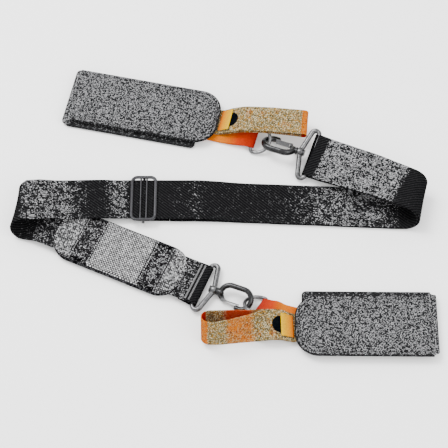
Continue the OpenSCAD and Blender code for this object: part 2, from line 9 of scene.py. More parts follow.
import bmesh
import bpy
import numpy as np
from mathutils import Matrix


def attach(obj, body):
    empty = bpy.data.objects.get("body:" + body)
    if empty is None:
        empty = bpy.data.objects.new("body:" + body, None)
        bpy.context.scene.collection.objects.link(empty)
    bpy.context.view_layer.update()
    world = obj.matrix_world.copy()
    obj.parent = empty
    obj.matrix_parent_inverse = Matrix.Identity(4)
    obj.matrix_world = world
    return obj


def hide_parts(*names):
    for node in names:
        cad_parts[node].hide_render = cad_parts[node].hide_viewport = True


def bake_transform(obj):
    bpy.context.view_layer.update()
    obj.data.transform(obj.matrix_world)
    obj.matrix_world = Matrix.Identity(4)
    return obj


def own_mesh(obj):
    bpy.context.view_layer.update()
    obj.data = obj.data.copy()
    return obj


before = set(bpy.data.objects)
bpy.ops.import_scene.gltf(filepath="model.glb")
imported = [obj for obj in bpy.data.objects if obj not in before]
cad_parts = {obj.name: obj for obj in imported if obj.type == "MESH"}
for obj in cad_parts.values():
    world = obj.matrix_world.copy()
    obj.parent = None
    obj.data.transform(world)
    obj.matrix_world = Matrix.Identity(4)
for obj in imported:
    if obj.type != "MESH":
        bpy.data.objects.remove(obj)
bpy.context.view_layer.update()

MM = 0.001
LAYOUT_SHIFT = np.array([3.46, -18.06, 0.0])
ENDS = ("upper", "lower")
UPPER, LOWER = 0, 1
rng = np.random.default_rng(7)


# ---- vectors, and rows of webbing ----
def unit(v):
    v = np.asarray(v, float)
    return v / np.linalg.norm(v, axis=-1, keepdims=True)


def heading(azimuth, rise=0.0):
    a, r = math.radians(azimuth), math.radians(rise)
    return np.array([math.cos(r) * math.cos(a), math.cos(r) * math.sin(a), math.sin(r)])


def rotation(roll, pitch, azimuth):
    """The matrix that turns by roll about x, then pitch about y, then azimuth about z."""
    cr, sr = math.cos(math.radians(roll)), math.sin(math.radians(roll))
    cp, sp = math.cos(math.radians(pitch)), math.sin(math.radians(pitch))
    ca, sa = math.cos(math.radians(azimuth)), math.sin(math.radians(azimuth))
    about_x = np.array([[1, 0, 0], [0, cr, -sr], [0, sr, cr]])
    about_y = np.array([[cp, 0, sp], [0, 1, 0], [-sp, 0, cp]])
    about_z = np.array([[ca, -sa, 0], [sa, ca, 0], [0, 0, 1]])
    return about_z @ about_y @ about_x


def at_height(points, z):
    return np.column_stack([points, np.full(len(points), z)])


def run_along(points):
    """Each point's distance from the first, along the line through them."""
    return np.concatenate([[0], np.cumsum(np.linalg.norm(np.diff(points, axis=0), axis=1))])


def tangents(path, closed=False):
    if closed:
        return unit(np.roll(path, -1, 0) - np.roll(path, 1, 0))
    return unit(np.vstack([path[1] - path[0], path[2:] - path[:-2], path[-1] - path[-2]]))


def station(x, y, z, azimuth, tilt=0.0, gap=0.0):
    """A row: [place, direction across the webbing, half the gap between two layers]"""
    return [x, y, z, *heading(azimuth, tilt), gap]


def course(*marks, n):
    """Rows on a Catmull-Rom curve through the marks, with n steps between two of them.

    A mark is a whole row, or the values that station() makes one of."""
    s = np.array([mark if len(mark) == 7 else station(*mark) for mark in marks])
    out = []
    for i in range(len(s) - 1):
        a, b, c, d = s[max(i - 1, 0)], s[i], s[i + 1], s[min(i + 2, len(s) - 1)]
        for k in range(n):
            t = k / n
            cubic = (3 * b - a - 3 * c + d) * t**3
            out.append(0.5 * (2 * b + (c - a) * t + (2 * a - 5 * b + 4 * c - d) * t**2 + cubic))
    out.append(s[-1])
    return np.array(out)


def axes(rows):
    """Tangent, across and normal at each row."""
    t = tangents(rows[:, :3])
    a = unit(rows[:, 3:6])
    return t, a, unit(np.cross(t, a))


def layer(rows, side, extra=0.0):
    """The rows moved to one of the two layers, and by extra further out."""
    n = axes(rows)[2]
    out = rows.copy()
    out[:, :3] += side * (rows[:, 6:7] + extra) * n
    out[:, 6] = 0
    return out


def fold_round(rows):
    """The turn of webbing round the bar at the last row, from one layer to the other."""
    steps = 8
    t, a, n = (v[-1] for v in axes(rows))
    r = rows[-1, 6]
    out = []
    for k in range(1, steps):
        turn = math.pi * k / steps
        p = rows[-1, :3] + r * (math.cos(turn) * n + math.sin(turn) * t)
        out.append([*p, *rows[-1, 3:6], 0])
    return np.array(out)


def closed_loop(core):
    return np.vstack([layer(core, -1), fold_round(core)[::-1], layer(core, 1)[::-1]])


def rows_at(rows, at):
    """The rows at these distances along them."""
    run = run_along(rows[:, :3])
    return np.stack([np.interp(at, run, column) for column in rows.T], axis=1)


def resample(rows, step, passes):
    """Rows at even steps along the webbing, with their corners eased."""
    total = run_along(rows[:, :3])[-1]
    out = rows_at(rows, np.linspace(0, total, max(4, int(total / step))))
    for _ in range(passes):
        out[1:-1] = (out[:-2] + 2 * out[1:-1] + out[2:]) / 4
    return out


def span(rows, start, end, n):
    """n + 1 rows between two distances along the webbing."""
    return rows_at(rows, np.linspace(start, end, n + 1))


def ease(x, start, end):
    t = np.clip((np.asarray(x, float) - start) / (end - start), 0, 1)
    return t * t * (3 - 2 * t)


# ---- meshes ----
RIPPLE_STEP = 14
STITCH_SHAPE = ((0, 0.35), (0.2, 1), (0.5, 1.15), (0.8, 1), (1, 0.35))


def add_mesh(name, points, faces, threads=None, tone_and_painted_light=0.5):
    """A mesh from points in millimetres.

    threads has each point's place in the weave, in millimetres, and optionally its face of the
    webbing from -1 to 1. tone_and_painted_light is the share of light threads there: the fabric's
    tone, and on the strap its painted sheen and on the handles their painted inner shade."""
    mesh = bpy.data.meshes.new(name)
    mesh.from_pydata(((np.asarray(points) + LAYOUT_SHIFT) * MM).tolist(), [], faces)
    mesh.validate()
    mesh.shade_smooth()
    if threads is not None:
        rows = np.zeros((len(points), 3), np.float32)
        rows[:, :threads.shape[1]] = threads
        attribute = mesh.attributes.new("thread_mm", "FLOAT_VECTOR", "POINT")
        attribute.data.foreach_set("vector", rows.ravel())
    attribute = mesh.attributes.new("tone_and_painted_light", "FLOAT", "POINT")
    attribute.data.foreach_set("value", np.full(len(points), tone_and_painted_light, np.float32))
    obj = bpy.data.objects.new(name, mesh)
    bpy.context.scene.collection.objects.link(obj)
    return obj


def dress(obj, material):
    obj.data.materials.append(material)


def put(obj, body, material, slot, *replaced):
    """Dress a piece and let it ride a body, in place of the nodes named last."""
    dress(obj, material)
    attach(obj, body)
    if replaced:
        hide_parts(*replaced)


def tube_faces(count, m, closed=False, base=0):
    """Faces over count rings of m points each, with flat ends unless the tube is closed."""
    faces = []
    for i in range(count if closed else count - 1):
        j = (i + 1) % count
        for k in range(m):
            h = (k + 1) % m
            faces.append((base + i * m + k, base + i * m + h, base + j * m + h, base + j * m + k))
    if not closed:
        faces.append(tuple(range(base, base + m))[::-1])
        faces.append(tuple(range(base + (count - 1) * m, base + count * m)))
    return faces


def loft(name, centres, a, n, profile, closed=False, tone_and_painted_light=None):
    """A tube whose section, in the directions a and n, is carried along the centres."""
    count = len(centres)
    shape = np.asarray(profile, float)
    if shape.ndim == 2:
        shape = np.repeat(shape[None], count, axis=0)
    m = shape.shape[1]
    points = centres[:, None] + shape[..., :1] * a[:, None] + shape[..., 1:] * n[:, None]
    run = np.repeat(run_along(centres)[:, None], m, axis=1)
    face = shape[..., 1] / np.abs(shape[..., 1]).max()
    threads = np.stack([shape[..., 0], run, face], axis=-1).reshape(-1, 3)
    tones_and_painted_light = 0.5 if tone_and_painted_light is None else np.repeat(tone_and_painted_light, m)
    return add_mesh(name, points.reshape(-1, 3), tube_faces(count, m, closed), threads, tones_and_painted_light)


def webbing_profile(w, t):
    """Flat webbing with a slightly thicker selvedge and rounded edges."""
    h, half, lip = w / 2, t / 2, 1.4
    edge = [(-h, 0), (-h + 0.12 * t, 0.62 * half), (-h + 0.4 * t, half), (-h + lip, 1.08 * half),
            (-h + 2 * lip, 0.94 * half)]
    middle = [(x, half) for x in np.linspace(-h + 3.2 * lip, h - 3.2 * lip, 9)]
    top = edge + middle + [(-x, z) for x, z in edge[::-1]]
    bottom = [(x, -z) for x, z in top[1:-1][::-1]]
    return np.array(top + bottom)


def strip(name, rows, w, t, tone_and_painted_light=None, step=1.2, passes=5, ripple=0.12, widths=None):
    """Webbing through the rows, waving a little from side to side.

    tone_and_painted_light is a function of the distance along it and its whole length."""
    rows = resample(rows, step, passes)
    run = run_along(rows[:, :3])
    tangent, a, n = axes(rows)
    a = unit(a - (a * tangent).sum(1, keepdims=True) * tangent)
    n = unit(np.cross(tangent, a))
    waves = rng.normal(0, ripple, int(run[-1] / RIPPLE_STEP) + 2)
    wave = np.interp(run, np.arange(0, run[-1] + RIPPLE_STEP, RIPPLE_STEP), waves)
    centres = rows[:, :3] + wave[:, None] * a
    profile = webbing_profile(w, t)
    if widths is not None:
        share = np.interp(run, np.linspace(0, run[-1], len(widths)), widths) / w
        profile = profile[None] * np.stack([share, np.ones_like(share)], axis=1)[:, None]
    return loft(name, centres, a, n, profile, tone_and_painted_light=None if tone_and_painted_light is None else tone_and_painted_light(run, run[-1]))


def circle(sides, flat=1.0):
    turn = np.linspace(0, 2 * math.pi, sides, endpoint=False)
    return np.stack([np.cos(turn), flat * np.sin(turn)], axis=1)


def wire(name, path, radius, up, sides=20, closed=False, flat=1.0, caps=4):
    """Round rod through a path in the plane across up; flat is its height over its width."""
    path = np.asarray(path, float)
    radii = np.broadcast_to(np.asarray(radius, float), len(path))
    if not closed and caps:
        turns = np.radians(90 * np.arange(caps, 0, -1) / caps)
        reach = 0.8 * np.sin(turns)[:, None]
        size = np.maximum(np.cos(turns), 0.02)
        start = path[0] + reach * radii[0] * unit(path[0] - path[1])
        end = path[-1] + reach[::-1] * radii[-1] * unit(path[-1] - path[-2])
        path = np.vstack([start, path, end])
        radii = np.concatenate([size * radii[0], radii, size[::-1] * radii[-1]])
    t = tangents(path, closed)
    n = unit(np.broadcast_to(np.asarray(up, float), t.shape))
    a = unit(np.cross(n, t))
    n = unit(np.cross(t, a))
    return loft(name, path, a, n, radii[:, None, None] * circle(sides, flat), closed)


def lathe(name, origin, axis, up, profile):
    """A turned piece: profile is (distance along the axis, radius)."""
    profile = np.asarray(profile, float)
    centres = origin + profile[:, :1] * axis
    a = np.tile(unit(up), (len(profile), 1))
    n = np.tile(unit(np.cross(axis, up)), (len(profile), 1))
    return loft(name, centres, a, n, profile[:, 1:, None] * circle(36))


def join(parts, name):
    """One mesh of several."""
    bpy.ops.object.select_all(action="DESELECT")
    for part in parts:
        part.select_set(True)
    bpy.context.view_layer.objects.active = parts[0]
    bpy.ops.object.join()
    parts[0].name = name
    parts[0].data.name = name
    return parts[0]


def stitches(name, lines, pitch=3.2, length=2.3, r=0.32):
    """Threads along polylines of points in millimetres."""
    sides = 6
    points, faces = [], []
    for line in lines:
        line = np.asarray(line, float)
        total = run_along(line)[-1]
        for s in np.arange(pitch / 2, total, pitch):
            a, b = rows_at(line, [max(s - length / 2, 0), min(s + length / 2, total)])
            t = unit(b - a)
            u = unit(np.cross(t, [0, 0, 1] if abs(t[2]) < 0.9 else [1, 0, 0]))
            v = np.cross(u, t)
            faces += tube_faces(len(STITCH_SHAPE), sides, base=len(points))
            for q, size in STITCH_SHAPE:
                dip = (0.5 - abs(q - 0.5)) * 2 * r - r
                middle = a + (b - a) * q + [0, 0, dip * 0.6]
                points += [middle + size * r * (x * u + y * v) for x, y in circle(sides)]
    return add_mesh(name, points, faces, np.zeros((len(points), 2)))


# ---- materials ----
def operation(kind):
    return lambda self, *others: self.shader.math(kind, self, *others)


class Value:
    """An output socket to calculate with."""

    __add__ = operation("ADD")
    __sub__ = operation("SUBTRACT")
    __mul__ = operation("MULTIPLY")
    __truediv__ = operation("DIVIDE")
    __mod__ = operation("FLOORED_MODULO")
    __lt__ = operation("LESS_THAN")
    __gt__ = operation("GREATER_THAN")
    floor = operation("FLOOR")
    fract = operation("FRACT")
    sine = operation("SINE")
    at_least = operation("MAXIMUM")
    at_most = operation("MINIMUM")

    def __init__(self, shader, socket):
        self.shader = shader
        self.socket = socket

    def clamped(self):
        return self.at_least(0.0).at_most(1.0)


class Shader:
    """A material made of nodes. Its settings are inputs of the surface."""

    def __init__(self, name, **settings):
        self.material = bpy.data.materials.new(name)
        self.material.use_nodes = True
        self.tree = self.material.node_tree
        self.surface = self.tree.nodes["Principled BSDF"]
        for key, value in settings.items():
            self.surface.inputs[key.replace("_", " ")].default_value = value

    def feed(self, socket, value):
        if isinstance(value, Value):
            self.tree.links.new(value.socket, socket)
        else:
            socket.default_value = value

    def node(self, kind, inputs=None, **properties):
        node = self.tree.nodes.new("ShaderNode" + kind)
        for key, value in properties.items():
            setattr(node, key, value)
        for key, value in (inputs or {}).items():
            self.feed(node.inputs[key], value)
        return node

    def value(self, kind, inputs=None, output=0, **properties):
        return Value(self, self.node(kind, inputs, **properties).outputs[output])

    def math(self, kind, *values):
        return self.value("Math", dict(enumerate(values)), operation=kind)

    def vector(self, x, y, z):
        return self.value("CombineXYZ", {"X": x, "Y": y, "Z": z})

    def attribute(self, name, output="Fac"):
        return self.value("Attribute", None, output, attribute_name=name)

    def noise(self, vector, scale, detail, roughness):
        inputs = {"Vector": vector, "Scale": scale, "Detail": detail, "Roughness": roughness}
        return self.value("TexNoise", inputs)

    def random(self, vector):
        return self.value("TexWhiteNoise", {"Vector": vector})

    def ramp(self, factor, stops, interpolation="LINEAR"):
        node = self.node("ValToRGB", {0: factor})
        node.color_ramp.interpolation = interpolation
        elements = node.color_ramp.elements
        while len(elements) < len(stops):
            elements.new(0.5)
        for element, (position, colour) in zip(elements, stops):
            element.position = position
            element.color = (*colour, 1)
        return Value(self, node.outputs[0])

    def mix(self, factor, a, b, blend="MIX"):
        return self.value("MixRGB", {0: factor, 1: a, 2: b}, blend_type=blend)

    def shaded(self, colour, value):
        """The colour times a grey."""
        grey = self.value("CombineColor", {0: value, 1: value, 2: value})
        return self.mix(1.0, colour, grey, "MULTIPLY")

    def bump(self, height, distance, strength=1.0, under=None):
        """A normal raised by the height, in millimetres, over another normal if one is given."""
        inputs = {"Height": height, "Distance": distance * MM, "Strength": strength}
        if under:
            inputs["Normal"] = under
        return self.value("Bump", inputs)

    def done(self, colour, normal, roughness):
        for key, value in (("Base Color", colour), ("Normal", normal), ("Roughness", roughness)):
            self.feed(self.surface.inputs[key], value)
        return self.material


def weave(shader, pitch, over_of=1, half_step=0.0):
    """A weave's height, two random numbers for each crossing, and where the warp is on top.

    The last value is the place: across, along, and the face of the webbing."""
    thread = shader.attribute("thread_mm", "Vector")
    u, v, face = (shader.value("SeparateXYZ", {0: thread}, k) for k in range(3))
    along = v / pitch[1]
    j = along.floor()
    across = u / pitch[0] + j * half_step
    i = across.floor()
    hump_u, hump_v = ((way.fract() * math.pi).sine() for way in (across, along))
    # The large number keeps the phase positive
    over = (i + j + 4096.0) % (2.0 * over_of) < over_of - 0.5
    warp = hump_u * (hump_v * 0.4 + 0.6)
    weft = hump_v * (hump_u * 0.4 + 0.35)
    first, second = (shader.random(shader.vector(i, j, seed)) for seed in (1.0, 7.0))
    return over * (warp - weft) + weft, first, second, over, (u, v, face)


def melange(name, pitch, dark, light, rough=0.85, over_of=1, depth=0.35, patch=0.3, half_step=0.0,
            regular=0.0, crisp=4.0):
    """Fabric of dark and light threads; its points' tone_and_painted_light is the share of light
    threads, which on the strap paints its sheen.

    patch is how far that share wanders in soft patches of painted light and shade, crisp is how
    sharply light parts from dark, and regular is how far the light follows the weave instead of
    chance: painted light on the crowns of the threads and painted shade in their gaps. The weave's
    height also paints shade into its crevices."""
    shader = Shader(name, Specular_IOR_Level=0.0)
    height, first, second, over, (u, v, face) = weave(shader, pitch, over_of, half_step)
    # Soft patches of painted light and shade over the fabric
    cloud = shader.noise(shader.vector(u / 8.0, v / 11.0, 3.0), 1.0, 4.0, 0.65) - 0.5
    tone_and_painted_light = shader.attribute("tone_and_painted_light")
    share = tone_and_painted_light + cloud * tone_and_painted_light.at_most(0.4) * (patch * 10.0)
    bright = ((first + share - 1.0) * crisp).clamped() * (second * 0.55 + 0.45)
    # Painted light on the crowns of the threads and painted shade in the gaps between them
    if regular:
        lit_crowns = (height * 1.7 - 0.45).clamped() * (over * 0.75 + 0.25) * (first * 0.5 + 0.7)
        bright = bright + (lit_crowns - bright) * regular
    colour = shader.mix(bright, (*dark, 1), (*light, 1))
    # Painted shade in the crevices of the weave
    colour = shader.shaded(colour, height * 0.6 + 0.45)
    fibres = shader.noise(shader.vector(u, v, 0.0), 2.6, 2.0, 0.7)
    normal = shader.bump(height, depth, 1.0, shader.bump(fibres, 0.25, 0.7))
    return shader.done(colour, normal, second * 0.2 + (rough - 0.1))


def handle_cloth(name, pitch):
    """Orange and tan melange: more orange towards its tone_and_painted_light, and a painted shade of deep
    red on the inner face there.
    """
    shader = Shader(name, Specular_IOR_Level=0.05)
    height, first, second, over, (u, v, face) = weave(shader, pitch)
    tone_and_painted_light = shader.attribute("tone_and_painted_light")
    cloud = shader.noise(shader.vector(u / 12.0, v / 10.0, 5.0), 1.0, 3.0, 0.6) * 1.8 - 0.9
    colour = shader.mix((tone_and_painted_light * 1.4 - 0.2 + cloud).clamped(),
                        shader.ramp(first, TAN_THREADS, "CONSTANT"),
                        shader.ramp(first, ORANGE_THREADS, "CONSTANT"))
    # Painted shade: deep red on the inner face where the webbing turns, and darker crevices in the weave
    inner = ((face > 0.3) * (tone_and_painted_light * 1.3)).at_most(1.0)
    colour = shader.shaded(shader.mix(inner, colour, (*INNER_SHADE_RED, 1)), height * 0.5 + 0.6)
    return shader.done(colour, shader.bump(height, 0.35), second * 0.2 + 0.7)


def graded_web(name, pitch, stops):
    """Webbing whose colour runs through a gradient along its tone_and_painted_light."""
    shader = Shader(name, Specular_IOR_Level=0.05)
    height, first, second, over, place = weave(shader, pitch)
    colour = shader.ramp(shader.attribute("tone_and_painted_light"), stops)
    # Painted shade in the crevices of the weave, times tone that differs thread by thread
    colour = shader.shaded(colour, (height * 0.3 + 0.75) * (first * 0.25 + 0.85))
    return shader.done(colour, shader.bump(height, 0.25), second * 0.2 + 0.6)


def metal(name, colour, rough, wear_and_reflection=0.35, speck=0.5):
    """Cast or drawn metal with a fine grain, dull patches and brighter rubbed places; the patches are
    partly worn metal and partly painted reflection.
    """
    shader = Shader(name, Metallic=1.0)
    place = shader.value("TexCoord", None, "Object")
    grain = shader.noise(place, 1500.0, 3.0, 0.7)
    patch = shader.noise(place, 160.0, 4.0, 0.6)
    fine = shader.noise(place, 620.0, 2.0, 0.5)
    # Dull and bright patches: partly worn metal, partly painted reflection
    value = (patch * (1.5 * wear_and_reflection) + (1 - 0.75 * wear_and_reflection)) * (fine * (1.2 * speck) + (1 - 0.6 * speck))
    normal = shader.bump(fine, 0.12, 0.5, shader.bump(grain, 0.05, 0.6))
    return shader.done(shader.shaded((*colour, 1), value), normal, patch * 0.35 + (rough - 0.1))


# Colours are linear red, green and blue; pitches are the threads' widths across and along
BLACK = (0.0025, 0.0025, 0.003)
# A painted shade of deep red for the inner face of the handles' turns
INNER_SHADE_RED = (0.3, 0.006, 0.002)
ORANGE_THREADS = [(0.0, (0.16, 0.03, 0.001)), (0.12, (0.42, 0.085, 0.001)), (0.5, (0.46, 0.13, 0.002)),
                  (0.85, (0.34, 0.17, 0.05))]
TAN_THREADS = [(0.0, (0.05, 0.04, 0.02)), (0.18, (0.13, 0.095, 0.045)), (0.42, (0.32, 0.15, 0.012)),
               (0.55, (0.2, 0.16, 0.075)), (0.78, (0.45, 0.38, 0.22))]
STRAP_WEB = melange("black_webbing", (0.9, 1.1), BLACK, (0.4, 0.4, 0.41), rough=0.9, over_of=2,
                    patch=0.42, regular=0.06)
PLAIN_WEB = melange("black_plain_webbing", (0.9, 1.1), BLACK, (0.2, 0.2, 0.205), rough=0.65)
WRAP_CLOTH = melange("brushed_wrap_fabric", (1.0, 1.0), (0.003, 0.003, 0.0035), (0.34, 0.34, 0.35),
                     half_step=0.5, rough=0.95, patch=0.04, crisp=6.0, regular=0.14)
EDGE_CLOTH = melange("edge_binding", (0.8, 1.0), BLACK, (0.08, 0.08, 0.085), rough=0.8)
PAD_CLOTH = melange("pad_cushion_fabric", (1.1, 1.1), BLACK, (0.28, 0.28, 0.285), rough=0.9)
PAD_MESH = melange("pad_mesh", (1.5, 1.5), BLACK, (0.55, 0.55, 0.56), rough=0.9, depth=0.5,
                   patch=0.03, regular=0.35)
BASKET_MESH = melange("pad_basket_weave", (1.65, 1.65), BLACK, (0.8, 0.8, 0.81), rough=0.9,
                      depth=0.9, patch=0.03, regular=0.7, crisp=3.0)
HANDLE_WEB = handle_cloth("orange_melange_webbing", (0.9, 1.0))
THREAD = melange("sewing_thread", (0.4, 0.6), BLACK, (0.1, 0.1, 0.105))
PALE_THREAD = melange("pale_sewing_thread", (0.4, 0.6), (0.3, 0.3, 0.305), (0.8, 0.8, 0.81))
HOOK_TAPE = melange("hook_tape_bristles", (1.0, 1.0), (0.002, 0.002, 0.0025), (0.06, 0.06, 0.065),
                    half_step=0.5, depth=1.2, rough=0.5)
LOOP_TAPE = melange("loop_tape_pile", (0.9, 0.9), BLACK, (0.07, 0.07, 0.075), depth=0.8, rough=0.95)
PATCH_BLACK = melange("black_patch", (0.7, 0.7), (0.001, 0.002, 0.003), (0.006, 0.008, 0.01),
                      rough=0.6)
RING_METAL = metal("dark_nickel_ring", (0.09, 0.09, 0.092), 0.22, wear_and_reflection=0.9, speck=1.5)
HOOK_METAL = metal("dark_nickel_hook", (0.035, 0.035, 0.036), 0.2, wear_and_reflection=0.9, speck=1.6)
GATE_METAL = metal("nickel_gate", (0.13, 0.13, 0.133), 0.25)
DRING_METAL = metal("nickel_dring", (0.13, 0.13, 0.133), 0.22, wear_and_reflection=0.9, speck=0.9)
SLIDER_METAL = metal("black_slider", (0.03, 0.03, 0.032), 0.25, speck=0.7)
RING_WEB = graded_web("red_orange_webbing", (0.8, 1.0), [
    (0.0, (0.5, 0.09, 0.0)), (0.4, (0.55, 0.14, 0.0)), (0.68, (0.4, 0.03, 0.0005)),
    (1.0, (0.22, 0.004, 0.001))])
TAB_WEB = graded_web("yellow_tab_webbing", (0.8, 1.0), [
    (0.0, (0.4, 0.07, 0.0)), (0.3, (0.55, 0.2, 0.0)), (1.0, (0.6, 0.36, 0.0))])


# ---- the strap ----
STRAP_W, STRAP_T = 50.0, 1.8
RIGHT_R, LEFT_R = 15.0, 14.0
LAYER_GAP = STRAP_T / 2 + 0.55
CUSHION_T = 6.8
PAD_STRAP_Z = CUSHION_T + 0.4 + STRAP_T / 2
LOWER_AZIMUTH = 156.0
LAP_LEN = 17.0
RING_WIRE_R = 2.5
BAR_FOLD_R = RING_WIRE_R + 0.3 + STRAP_T / 2
RING_AT = [np.array([100.0, 81.5, 14.0]), np.array([-24.5, -80.6, 4.8])]
SWIVEL_AZIMUTH = [158.0, -23.0]
SWIVEL_FALL = [3.3, -4.6]
RING_ROLL = [-18.0, 0.0]
HOOK_ROLL = 26.0
DRING_ROLL = -29.0
SLIDER_AT = np.array([-90.0, 27.8])
SLIDER_Z = 7.4
RETURN_Z = 1.1
PAIR_Z = RETURN_Z + LAYER_GAP
SPREAD_Z = (SLIDER_Z + RETURN_Z) / 2
SPREAD_GAP = (SLIDER_Z - RETURN_Z) / 2


def turn_of(end, roll):
    return rotation(roll, SWIVEL_FALL[end], SWIVEL_AZIMUTH[end])


def bar_way(end):
    return turn_of(end, RING_ROLL[end]) @ [0, 1, 0]


def lower_point(s, z):
    return np.array([*RING_AT[LOWER][:2], z]) + s * heading(LOWER_AZIMUTH)


def strap_bend(centre, r, outward, skew, gap):
    """Bottom to top round an axis, with the strap crossing the axis askew."""
    d = heading(outward)
    a = heading(outward + (-90 if outward > 90 else 90))
    skew = math.radians(skew)
    drift = math.pi * r * math.tan(skew)
    out = []
    for t in range(-90, 91, 15):
        c, s = math.cos(math.radians(t)), math.sin(math.radians(t))
        run = np.array([0, 0, c]) - s * d
        p = centre + r * (c * d + np.array([0, 0, s])) + drift * t / 180 * a
        side = math.cos(skew) * a - math.sin(skew) * run
        out.append([*p, *side, gap])
    return np.array(out)


end_core = course(
    (*lower_point(LAP_LEN, PAD_STRAP_Z - LAYER_GAP), 67, 0, LAYER_GAP),
    (*lower_point(8, PAD_STRAP_Z - 2.4), 67, 0, 2.6),
    (*RING_AT[LOWER], *bar_way(LOWER), BAR_FOLD_R), n=3)
left_bend = strap_bend([-217, 8.5, STRAP_T / 2 + 1.3 + LEFT_R], LEFT_R, 172, 14, 0)
lower_run = course(
    (*lower_point(26, PAD_STRAP_Z), 66.5),
    (*lower_point(60, PAD_STRAP_Z), 66),
    (*lower_point(140, PAD_STRAP_Z), 66),
    (*lower_point(186, PAD_STRAP_Z), 67),
    (*lower_point(198, 5), 70), n=3)
middle_run = course(
    (-200, 18.6, 24.5, 97),
    (-184, 21.6, 17, 95),
    (-160, 24.6, 12.7, 92.5),
    (-138, 26, 11.7, 91.5),
    (-119, 27.4, 7.8, 90.8),
    (-104, SLIDER_AT[1], SLIDER_Z, 90),
    (-60, SLIDER_AT[1], SLIDER_Z, 90), n=3)
double_core = np.vstack([
    course(
        (-58, SLIDER_AT[1], SPREAD_Z, 90, 0, SPREAD_GAP),
        (-32, 27.7, SPREAD_Z, 89.4, 0, SPREAD_GAP),
        (-8, 27, PAIR_Z + 1.2, 88.6, 0, LAYER_GAP + 1.2),
        (16, 26, PAIR_Z, 88, 0, LAYER_GAP),
        (70, 23.6, PAIR_Z, 87.5, 0, LAYER_GAP),
        (130, 20.8, PAIR_Z, 87.4, 0, LAYER_GAP),
        (184, 18.2, PAIR_Z, 87.4, 0, LAYER_GAP), n=3),
    strap_bend([205, 21.6, PAIR_Z + 0.8 + RIGHT_R], RIGHT_R, -13, 10.5, LAYER_GAP),
    course(
        (186, 36, 31.8, 66.4, 1, LAYER_GAP),
        (161, 48.8, 28.4, 66.8, 6, LAYER_GAP),
        (136, 61.8, 22.6, 67.3, 12, LAYER_GAP),
        (116, 72.6, 17.4, 67.8, 16, LAYER_GAP + 1),
        (*RING_AT[UPPER], *(-bar_way(UPPER)), BAR_FOLD_R), n=4)])


# Distances along each run, in millimetres, and the share of light threads there: painted sheen, lighter
# where the twill catches the light and darker where it doesn't
STRAP_SHEEN = {
    "lap_under": [(0, 0.1)],
    "lap_top": [(0, 0.01), (17, 0.01), (20, 0.34)],
    "lower_run": [(0, 0.36), (26, 0.36), (32, 0.3), (130, 0.3), (146, 0.2), (156, 0.34), (166, 0.34),
                  (174, 0.08)],
    "left_bend": [(0, 0.08), (8, 0.04), (32, 0.03), (38, 0.34)],
    "middle_run": [(0, 0.4), (28, 0.34), (44, 0.12), (52, 0.05), (66, 0.05), (76, 0.36), (90, 0.34),
                   (97, 0.03), (138, 0.03)],
    "double_run": [(0, 0.06), (13, 0.07), (22, 0.2), (34, 0.05), (118, 0.06), (146, 0.2), (172, 0.36),
                   (224, 0.42), (246, 0.2), (256, 0.02), (310, 0.02)],
    "return_run": [(0, 0.05), (322, 0.015), (328, 0.5), (396, 0.54)]}


def sheen_along_strap(sections):
    """The share of light threads along the sections, laid end to end: the strap's painted sheen."""
    run = run_along(np.vstack([rows[:, :3] for key, rows in sections]))
    at, share, first = [], [], 0
    for key, rows in sections:
        for distance, value in STRAP_SHEEN[key]:
            at.append(run[first] + distance)
            share.append(value)
        first += len(rows)
    order = np.argsort(at, kind="stable")
    return lambda run, total: np.interp(run, np.array(at)[order], np.array(share)[order])


def dark_fold(tone_and_painted_light, reach):
    """The painted sheen, but with hardly a light thread at the end, which turns round the upper ring, so
    that end gets no painted sheen.
    """
    def darkened(run, total):
        kept = 1 - ease(run, total - reach - 3, total - reach)
        return 0.01 + (tone_and_painted_light(run, total) - 0.01) * kept
    return darkened


sections = [
    ("lap_under", layer(end_core, -1)),
    ("lap_top", np.vstack([fold_round(end_core)[::-1], layer(end_core, 1)[::-1]])),
    ("lower_run", lower_run), ("left_bend", left_bend), ("middle_run", middle_run),
    ("double_run", np.vstack([layer(double_core, 1), fold_round(double_core)]))]
# The light threads along the strap paint its sheen
strap = strip("shoulder_strap_web", np.vstack([rows for key, rows in sections]), STRAP_W, STRAP_T,
              dark_fold(sheen_along_strap(sections), 14))
put(strap, "strap", STRAP_WEB, "webbing", "shoulder_strap")
# The under layer starts as a short piece of its own, which the slider's sewn end pushes together
return_layer = layer(double_core, -1)
return_total = run_along(return_layer[:, :3])[-1]
# Painted sheen along the under layer too, with none on its end round the ring
return_sheen = dark_fold(sheen_along_strap([("return_run", return_layer)]), 12)
START_LEN, START_REACH, START_KEEP = 36.0, 2.2, 0.05
start_rows = span(return_layer, 0, START_LEN, 12)
start_rows[0, 0] -= START_REACH
for name, rows, start in (
        ("strap_return_web", span(return_layer, START_LEN, return_total, 120), START_LEN),
        ("strap_return_start_web", start_rows, 0)):
    piece = strip(name, rows, STRAP_W, STRAP_T, lambda run, total: return_sheen(run + start, return_total))
    put(piece, "strap", STRAP_WEB, "webbing", "strap_return_layer")
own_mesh(piece)

# Two pale double lines of stitches where the webbing is sewn back at the lower ring
LAP_STITCH_HALF, LAP_STITCHES_AT = 23, (4.6, 5.6, 8.8, 9.8)
lap_side = LAP_STITCH_HALF * heading(LOWER_AZIMUTH - 90)
lap_lines = []
for x in LAP_STITCHES_AT:
    middle = lower_point(x, PAD_STRAP_Z + STRAP_T / 2 + 0.25)
    lap_lines.append([middle - lap_side, middle + lap_side])
put(stitches("lap_stitches", lap_lines, 1.7, 1.5, 0.42), "strap", PALE_THREAD, "sewing_thread",
    "strap_end_stitching")


